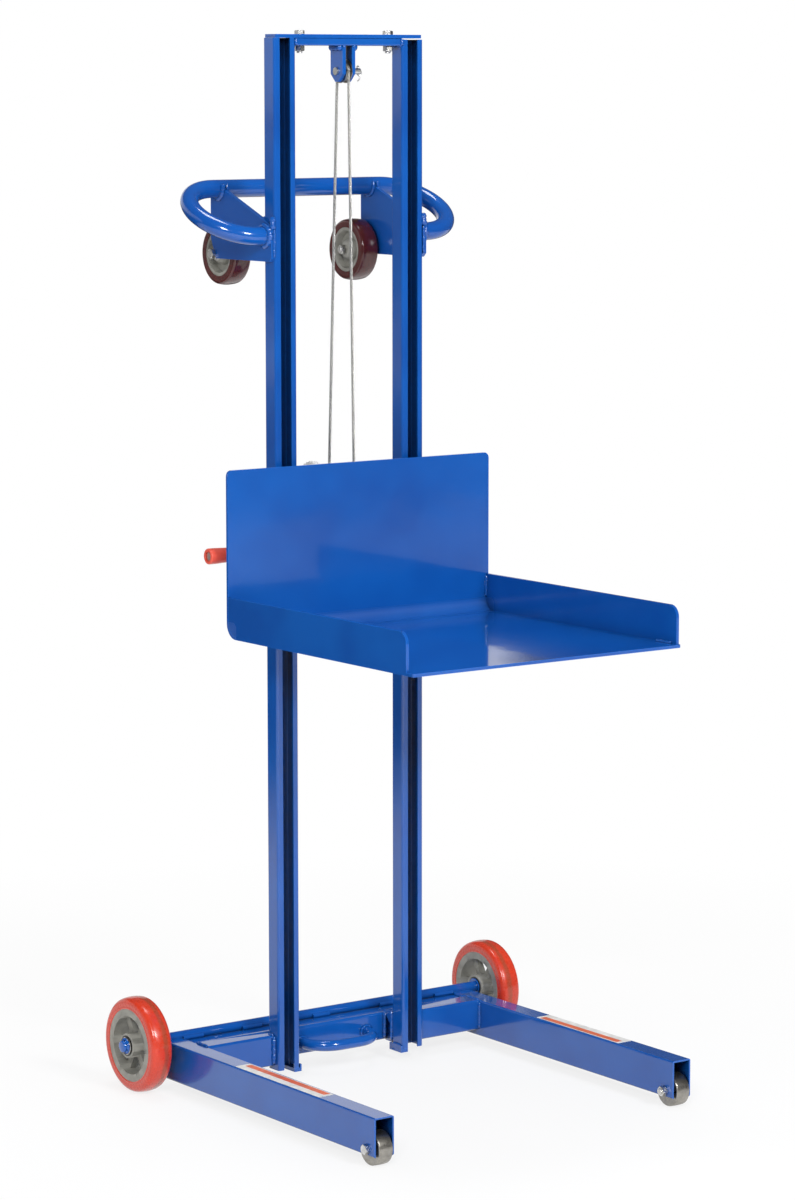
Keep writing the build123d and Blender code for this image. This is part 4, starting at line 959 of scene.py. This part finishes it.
class LIFT_OT_weld_seams(bpy.types.Operator):
    """Run the weld beads along the joints of the frame and the tray."""
    bl_idname = "lift.weld_seams"
    bl_label = "Weld the seams"

    def execute(self, context):
        settings = context.scene.lift_weld
        enamel = nodes["left_leg"].material_slots[0].material
        frame_beads = bmesh.new()
        self.base_seams(frame_beads, settings)
        self.top_seams(frame_beads, settings)
        self.handle_seams(frame_beads, settings)
        self.winch_seams(frame_beads, settings)
        show("frame_weld_beads", frame_beads, enamel, "mast")
        tray_beads = bmesh.new()
        self.tray_seams(tray_beads, settings)
        show("tray_weld_beads", tray_beads, enamel, "carriage")
        return {"FINISHED"}

    def base_seams(self, mesh, settings):
        """Front tubes, rear cross tube, foot loop and channel stops."""
        leg_inner = -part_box("left_leg")[1].x
        tube_low, tube_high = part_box("right_front_tube")
        rear_low, rear_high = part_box("rear_cross_tube")
        stop_low, stop_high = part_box("channel_stops")
        loop_low, loop_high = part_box("foot_loop")
        front = tube_low.y - 0.0004
        outer = MAST_FACE + 0.0012
        bar = (loop_high.z - loop_low.z) / 2
        for side in (-1, 1):
            run_beads(mesh, settings, side, (
                (outer, front, (tube_low.z + 0.004, tube_high.z - 0.001), 1.3, 1),
                (outer, (front + 0.001, MAST_REAR - 0.002), tube_high.z, 0.8, 3),
                ((MAST_INNER + 0.002, MAST_FACE - 0.002), MAST_REAR + 0.001, tube_high.z + 0.0006, 1.1, 5),
                (MAST_INNER + 0.0002, MAST_REAR + 0.0015, (tube_low.z + 0.003, tube_high.z + 0.001), 0.9, 6),
                (MAST_INNER - 0.0006, rear_low.y - 0.0008, (rear_low.z + 0.004, rear_high.z + 0.001),
                 1.2, 8),
                (leg_inner, front, (tube_low.z + 0.003, tube_high.z - 0.004), 0.9, 7),
                (leg_inner, (front + 0.004, tube_high.y - 0.004), tube_high.z - 0.0004, 0.8, 9),
                (leg_inner, (rear_low.y + 0.006, rear_high.y - 0.006), rear_high.z + 0.0004, 0.8, 3)))
            run_beads(mesh, settings, side, [
                ((start, start + 0.028), rear_low.y, rear_high.z + 0.0010, 1.0, start * 40)
                for start in (0.100, 0.165, 0.228)])
            centre = Vector((side * (loop_high.x - bar), rear_low.y - 0.0008, loop_high.z - bar))
            points = [centre + Vector((cos(2 * pi * i / 36), 0.0, sin(2 * pi * i / 36))) * (bar + 0.0006)
                      for i in range(37)]
            bead_along(mesh, points, settings, 0.9, 2)
            run_beads(mesh, settings, side, (
                (MAST_INNER - 0.0006, (MAST_FRONT + 0.006, MAST_REAR - 0.004), stop_high.z + 0.0004, 0.6, 6),
                (MAST_INNER - 0.0030, (MAST_REAR - 0.010, MAST_REAR - 0.002), stop_low.z + 0.002, 0.5, 8)))

    def top_seams(self, mesh, settings):
        """Top cross tube and sheave ears."""
        low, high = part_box("top_cross_tube")
        ears_low, ears_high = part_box("sheave_ears")
        end = high.x - 0.0004
        for side in (-1, 1):
            run_beads(mesh, settings, side, (
                (end, low.y - 0.0002, (low.z + 0.001, high.z - 0.001), 1.0, 1),
                (end, (low.y + 0.003, high.y - 0.003), low.z - 0.0002, 0.8, 2),
                (ears_high.x + 0.0014, (ears_low.y + 0.001, ears_high.y - 0.002), low.z - 0.0022, 1.6, 4),
                ((ears_high.x - 0.005, ears_high.x), ears_low.y - 0.0004, low.z - 0.0008, 0.8, 5)))

    def handle_seams(self, mesh, settings):
        """Handle in its brackets, and the brackets on the uprights."""
        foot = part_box("left_wheel_bracket")[0].z
        handle_low, handle_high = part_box("push_handle")
        back = Vector((0.0, MAST_FRONT + 0.150, handle_high.z - HANDLE_RADIUS))
        end = Vector((0.0, MAST_FRONT + 0.018, handle_low.z + HANDLE_RADIUS))
        for side in (-1, 1):
            outer = Vector((side * (BRACKET_FACE + 0.0008), 0.0, 0.0))
            inner = Vector((side * (MAST_FACE - 0.0008), 0.0, 0.0))
            arc_bead(mesh, settings, end + outer, 0, 360, 1.45, 1)
            run_beads(mesh, settings, side, [
                ((MAST_FACE + 0.0030, MAST_FACE + 0.0020), (MAST_FRONT + 0.0010, MAST_FRONT + 0.0030),
                 (end.z + 0.010, end.z + 0.030), 1.5, 7)])
            arc_bead(mesh, settings, back + outer, 150, 380, 1.3, 3)
            arc_bead(mesh, settings, back + inner, 150, 380, 1.0, 5)
            run_beads(mesh, settings, side, (
                (MAST_FACE + 0.0012, MAST_FRONT - 0.0002, (foot + 0.007, foot + 0.050), 0.75, 2),
                (MAST_FACE - 0.0020, MAST_REAR + 0.0006, (foot + 0.006, foot + 0.070), 1.0, 6)))

    def winch_seams(self, mesh, settings):
        """Winch plate on the uprights, and the shaft's support on the plate."""
        low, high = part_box("winch_mount_plate")
        support_low, support_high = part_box("shaft_support")
        for side in (-1, 1):
            run_beads(mesh, settings, side, [
                (high.x + 0.0006, MAST_REAR + 0.0010, (z, z + 0.022), 1.0, z * 30)
                for z in (low.z + 0.010, low.z + 0.048, high.z - 0.030)])
        run_beads(mesh, settings, 1, [
            (x, high.y + 0.0008, (support_low.z + 0.002, support_high.z - 0.002), 0.9, 3)
            for x in (support_low.x - 0.0004, support_high.x + 0.0004)])

    def tray_seams(self, mesh, settings):
        """Side lips on the deck and the back plate, and the carriage's plates behind the back plate."""
        low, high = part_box("platform_deck")
        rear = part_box("platform_back_plate")[1].y
        plates_low, plates_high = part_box("carriage_plates")
        floor = low.z + TRAY_SHEET
        inner = high.x - TRAY_SHEET
        back = rear - TRAY_SHEET
        for side, front in ((-1, low.y + 0.0185), (1, low.y + 0.006)):
            run_beads(mesh, settings, side, (
                (inner - 0.0004, (front + 0.012, front + 0.048), floor + 0.0006, 0.85, 5),
                ((high.x - 0.0005, inner + 0.0002), (front + 0.0045, front + 0.0040),
                 (floor + 0.0002, floor + 0.0004), 0.9, 2),
                (inner - 0.0003, back - 0.0004, (floor + 0.022, high.z - 0.003), 0.75, 4)))
        for side in (-1, 1):
            run_beads(mesh, settings, side, [
                (x, rear + 0.0006, (plates_low.z + 0.020, plates_high.z - 0.006), 0.9, x * 90)
                for x in (0.1197, 0.1248)])


class LIFT_OT_lay_tapes(bpy.types.Operator):
    """Lay the plain two-tone tapes on the legs."""
    bl_idname = "lift.lay_tapes"
    bl_label = "Lay the tapes"

    def execute(self, context):
        white = tape_film("white_tape", (0.80, 0.79, 0.76))
        orange = tape_film("orange_tape", (0.78, 0.14, 0.05))
        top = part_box("left_leg")[1].z
        film = 0.00025
        ink = 0.00012
        margin = 0.007
        for side, word, rear, length in ((-1, "left", 0.039, 0.229), (1, "right", 0.015, 0.212)):
            front = rear - length
            self.strip(f"{word}_tape_white", side, (0.2725, 0.3005), (front, rear), (top, film), white)
            self.strip(f"{word}_tape_orange", side, (0.2745, 0.2865), (front + margin, rear - margin),
                       (top + film, ink), orange)
        return {"FINISHED"}

    def strip(self, name, side, across, along, layer, material):
        """Thin film with rounded corners, its layer given as base and thickness."""
        inner, outer = across
        front, rear = along
        base, thickness = layer
        corner = 0.002
        points = []
        for x, y, first in ((outer, rear, 0), (inner, rear, 90), (inner, front, 180), (outer, front, 270)):
            cx = x - corner if x == outer else x + corner
            cy = y - corner if y == rear else y + corner
            for step in range(5):
                angle = radians(first + 22.5 * step)
                points.append((cx + corner * cos(angle), cy + corner * sin(angle)))
        mesh = bmesh.new()
        rows = [ring_of(mesh, [Vector((side * x, y, z)) for x, y in points])
                for z in (base + 0.00002, base + thickness)]
        skin(mesh, rows, smooth=False)
        cap_row(mesh, rows[1], Vector((0, 0, 1)))
        cap_row(mesh, rows[0], Vector((0, 0, -1)))
        bmesh.ops.recalc_face_normals(mesh, faces=mesh.faces[:])
        show(name, mesh, material, "mast")


class LIFT_OT_wire_rope(bpy.types.Operator):
    """Lay the stranded wire rope from the drum over the sheave to the tray."""
    bl_idname = "lift.wire_rope"
    bl_label = "Lay the wire rope"

    def execute(self, context):
        settings = context.scene.lift_rope
        steel = rope_steel()
        low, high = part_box("rope_front_run")
        radius = (high.x - low.x) / 2
        step = settings.lay / STEPS_PER_LAY

        # Radii of the rope's line round the sheave and the drum, and the straight runs' ends on them
        sheave = middle("sheave")
        drum = middle("winch_drum")
        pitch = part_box("lifting_rope")[1].z - sheave.z - radius
        winding = drum.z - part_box("lifting_rope")[0].z - radius
        dy, dz = drum.y - sheave.y, drum.z - sheave.z
        lean = atan2(dz, dy) + acos((pitch + winding) / hypot(dy, dz))
        top = on_circle(sheave, pitch, lean)
        bottom = on_circle(drum, -winding, lean)
        foot = Vector((0, low.y + radius, low.z))
        dy, dz = foot.y - sheave.y, foot.z - sheave.z
        front_angle = atan2(dz, dy) - acos(pitch / hypot(dy, dz))
        front = on_circle(sheave, pitch, front_angle)

        leave = atan2(bottom.z - drum.z, bottom.y - drum.y)
        wrapped = radians(270)
        wrap = arc_points(drum, winding, leave + wrapped, leave, ceil(winding * wrapped / step))
        over = arc_points(sheave, pitch, lean, front_angle + 2 * pi,
                          ceil(pitch * (front_angle + 2 * pi - lean) / step))
        mesh = bmesh.new()
        strands_along(mesh, wrap[:-1] + line_points(bottom, top, step)[:-1] + over, radius, settings)
        show("lifting_rope_strands", mesh, steel, "mast", ("lifting_rope",))

        mesh = bmesh.new()
        strands_along(mesh, line_points(front, foot, step), radius, settings)
        run = show("front_run_strands", mesh, steel, None, ("rope_front_run",))
        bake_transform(run)

        low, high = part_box("rope_winding")
        turns = round((high.x - low.x) / (2 * radius))
        per_turn = 48
        count = turns * per_turn
        coil = [on_circle(drum, winding, 2 * pi * i / per_turn,
                          low.x + radius + (high.x - low.x - 2 * radius) * i / count)
                for i in range(count + 1)]
        mesh = bmesh.new()
        strands_along(mesh, coil, radius, settings)
        show("rope_winding_strands", mesh, steel, "drum", ("rope_winding",))
        return {"FINISHED"}


class LIFT_OT_set_stage(bpy.types.Operator):
    """Set the pale floor, the soft lights and the camera."""
    bl_idname = "lift.set_stage"
    bl_label = "Set the stage"

    def execute(self, context):
        settings = context.scene.lift_stage
        scene = context.scene
        scene.view_settings.view_transform = "Standard"
        self.lay_floor()
        self.light_room(scene, settings)
        for name, place, power in LAMPS:
            self.hang_lamp(name, place, getattr(settings, power))
        self.place_camera(scene, settings)
        return {"FINISHED"}

    def lay_floor(self):
        """White floor under the lift."""
        material, tree, shader = finish("studio_floor")
        set_inputs(tree, shader, roughness=0.6,
                   base_color=cloud(tree, 1.5, 2.0, (0.82, 0.82, 0.82), (0.86, 0.86, 0.86)))
        place, axes = coordinates(tree)
        path = tree.nodes.new("ShaderNodeLightPath").outputs
        # The floor keeps its shadow near the lift and turns to plain white farther out
        reach = maths(tree, "LENGTH", place, kind="ShaderNodeVectorMath")
        seen = maths(tree, "MULTIPLY", path["Is Camera Ray"], spread(tree, reach, 0.80, 1.0, 0.5, 1.9))
        ground = mixed_shader(tree, seen, shader.outputs["BSDF"], glow(tree, 1.0))
        # Glossy faces see white paper that ends behind the lift
        paper = glow(tree, spread(tree, axes["Y"], 1.0, 0.02, 1.7, 2.55))
        behind = maths(tree, "MULTIPLY", path["Is Glossy Ray"], spread(tree, axes["Y"], 0.0, 1.0, -0.6, 0.4))
        surface = mixed_shader(tree, behind, ground, paper)
        feed(tree, surface, tree.nodes["Material Output"].inputs["Surface"])
        mesh = bmesh.new()
        bmesh.ops.create_grid(mesh, x_segments=8, y_segments=8, size=6.5)
        floor = link_mesh("studio_floor", mesh, material)

    def light_room(self, scene, settings):
        """Even room light, a backdrop for glossy faces, and plain white behind the lift."""
        world = bpy.data.worlds.new("studio_room")
        scene.world = world
        world.use_nodes = True
        tree = world.node_tree
        tree.nodes.clear()
        path = tree.nodes.new("ShaderNodeLightPath").outputs
        even, mirrored, white = [
            add_node(tree, "ShaderNodeBackground", color=WHITE, strength=strength).outputs["Background"]
            for strength in (settings.room, self.backdrop_light(tree, settings), 1.0)]
        room = mixed_shader(tree, path["Is Glossy Ray"], even, mirrored)
        seen = mixed_shader(tree, path["Is Camera Ray"], room, white)
        add_node(tree, "ShaderNodeOutputWorld", surface=seen)

    def backdrop_light(self, tree, settings):
        """Strength by direction: a white backdrop behind on the left, and little light elsewhere."""
        place, axes = coordinates(tree, "Generated")
        edge = maths(tree, "DOT_PRODUCT", place, (-0.793, 0.609, 0.0), kind="ShaderNodeVectorMath")
        left = spread(tree, edge, 0.0, 1.0, -0.015, 0.015)
        behind = spread(tree, axes["Y"], 0.0, 1.0, 0.02, 0.15)
        height = axes["Z"]
        wall = maths(tree, "MULTIPLY", spread(tree, height, 0.0, 1.0, -0.030, 0.005),
                     spread(tree, height, 1.0, 0.0, 0.30, 0.45))
        strip = maths(tree, "MULTIPLY", spread(tree, height, 0.0, 0.6, -0.100, -0.075),
                      spread(tree, height, 1.0, 0.0, -0.068, -0.045))
        share = maths(tree, "MULTIPLY", maths(tree, "MULTIPLY", left, behind),
                      maths(tree, "MAXIMUM", wall, strip))
        return spread(tree, share, settings.mirrored_room, settings.backdrop)

    def hang_lamp(self, name, place, watts):
        """Square soft light that looks at the lift."""
        lamp = bpy.data.lights.new(name, "AREA")
        lamp.shape = "SQUARE"
        lamp.size = LAMP_SIZE
        lamp.energy = watts
        stand = bpy.data.objects.new(name, lamp)
        bpy.context.scene.collection.objects.link(stand)
        stand.location = place
        aim = Vector(LAMP_AIM) - Vector(place)
        stand.rotation_euler = aim.to_track_quat("-Z", "Y").to_euler()

    def place_camera(self, scene, settings):
        """Camera in front of the lift, a little to its left."""
        data = bpy.data.cameras.new("photo_camera")
        data.lens = settings.lens
        data.sensor_width = SENSOR_WIDTH
        data.shift_x, data.shift_y = CAMERA_SHIFT
        camera = bpy.data.objects.new("photo_camera", data)
        scene.collection.objects.link(camera)
        camera.location = CAMERA_PLACE
        camera.rotation_euler = Euler([radians(turn) for turn in CAMERA_TURN])
        scene.camera = camera


class LIFT_PT_build(bpy.types.Panel):
    """Steps of the lift's build, in order."""
    bl_idname = "LIFT_PT_build"
    bl_label = "Light load lift"
    bl_space_type = "VIEW_3D"
    bl_region_type = "UI"
    bl_category = "Lift"

    def draw(self, context):
        layout = self.layout
        for scene_name, _ in SETTINGS:
            group = getattr(context.scene, scene_name)
            box = layout.box()
            for name in group.bl_rna.properties.keys():
                if name not in ("rna_type", "name"):
                    box.prop(group, name)
        for step in STEPS:
            layout.operator(step.bl_idname)


STEPS = (LIFT_OT_paint_frame, LIFT_OT_finish_metal, LIFT_OT_finish_wheels, LIFT_OT_fit_bolts,
         LIFT_OT_weld_seams, LIFT_OT_lay_tapes, LIFT_OT_wire_rope, LIFT_OT_set_stage)
SETTINGS = (("lift_finish", FinishSettings), ("lift_weld", WeldSettings), ("lift_rope", RopeSettings),
            ("lift_stage", StageSettings))


def register():
    """Add the settings, the operators and the panel."""
    for name, group in SETTINGS:
        bpy.utils.register_class(group)
        setattr(bpy.types.Scene, name, PointerProperty(type=group))
    for step in STEPS:
        bpy.utils.register_class(step)
    bpy.utils.register_class(LIFT_PT_build)


def unregister():
    """Take the panel, the operators and the settings away again."""
    bpy.utils.unregister_class(LIFT_PT_build)
    for step in reversed(STEPS):
        bpy.utils.unregister_class(step)
    for name, group in reversed(SETTINGS):
        delattr(bpy.types.Scene, name)
        bpy.utils.unregister_class(group)


def main():
    """Build the lift step by step."""
    register()
    for step in STEPS:
        family, name = step.bl_idname.split(".")
        if getattr(getattr(bpy.ops, family), name)() != {"FINISHED"}:
            raise RuntimeError(f"{step.bl_label} did not finish")


if __name__ == "__main__":
    main()
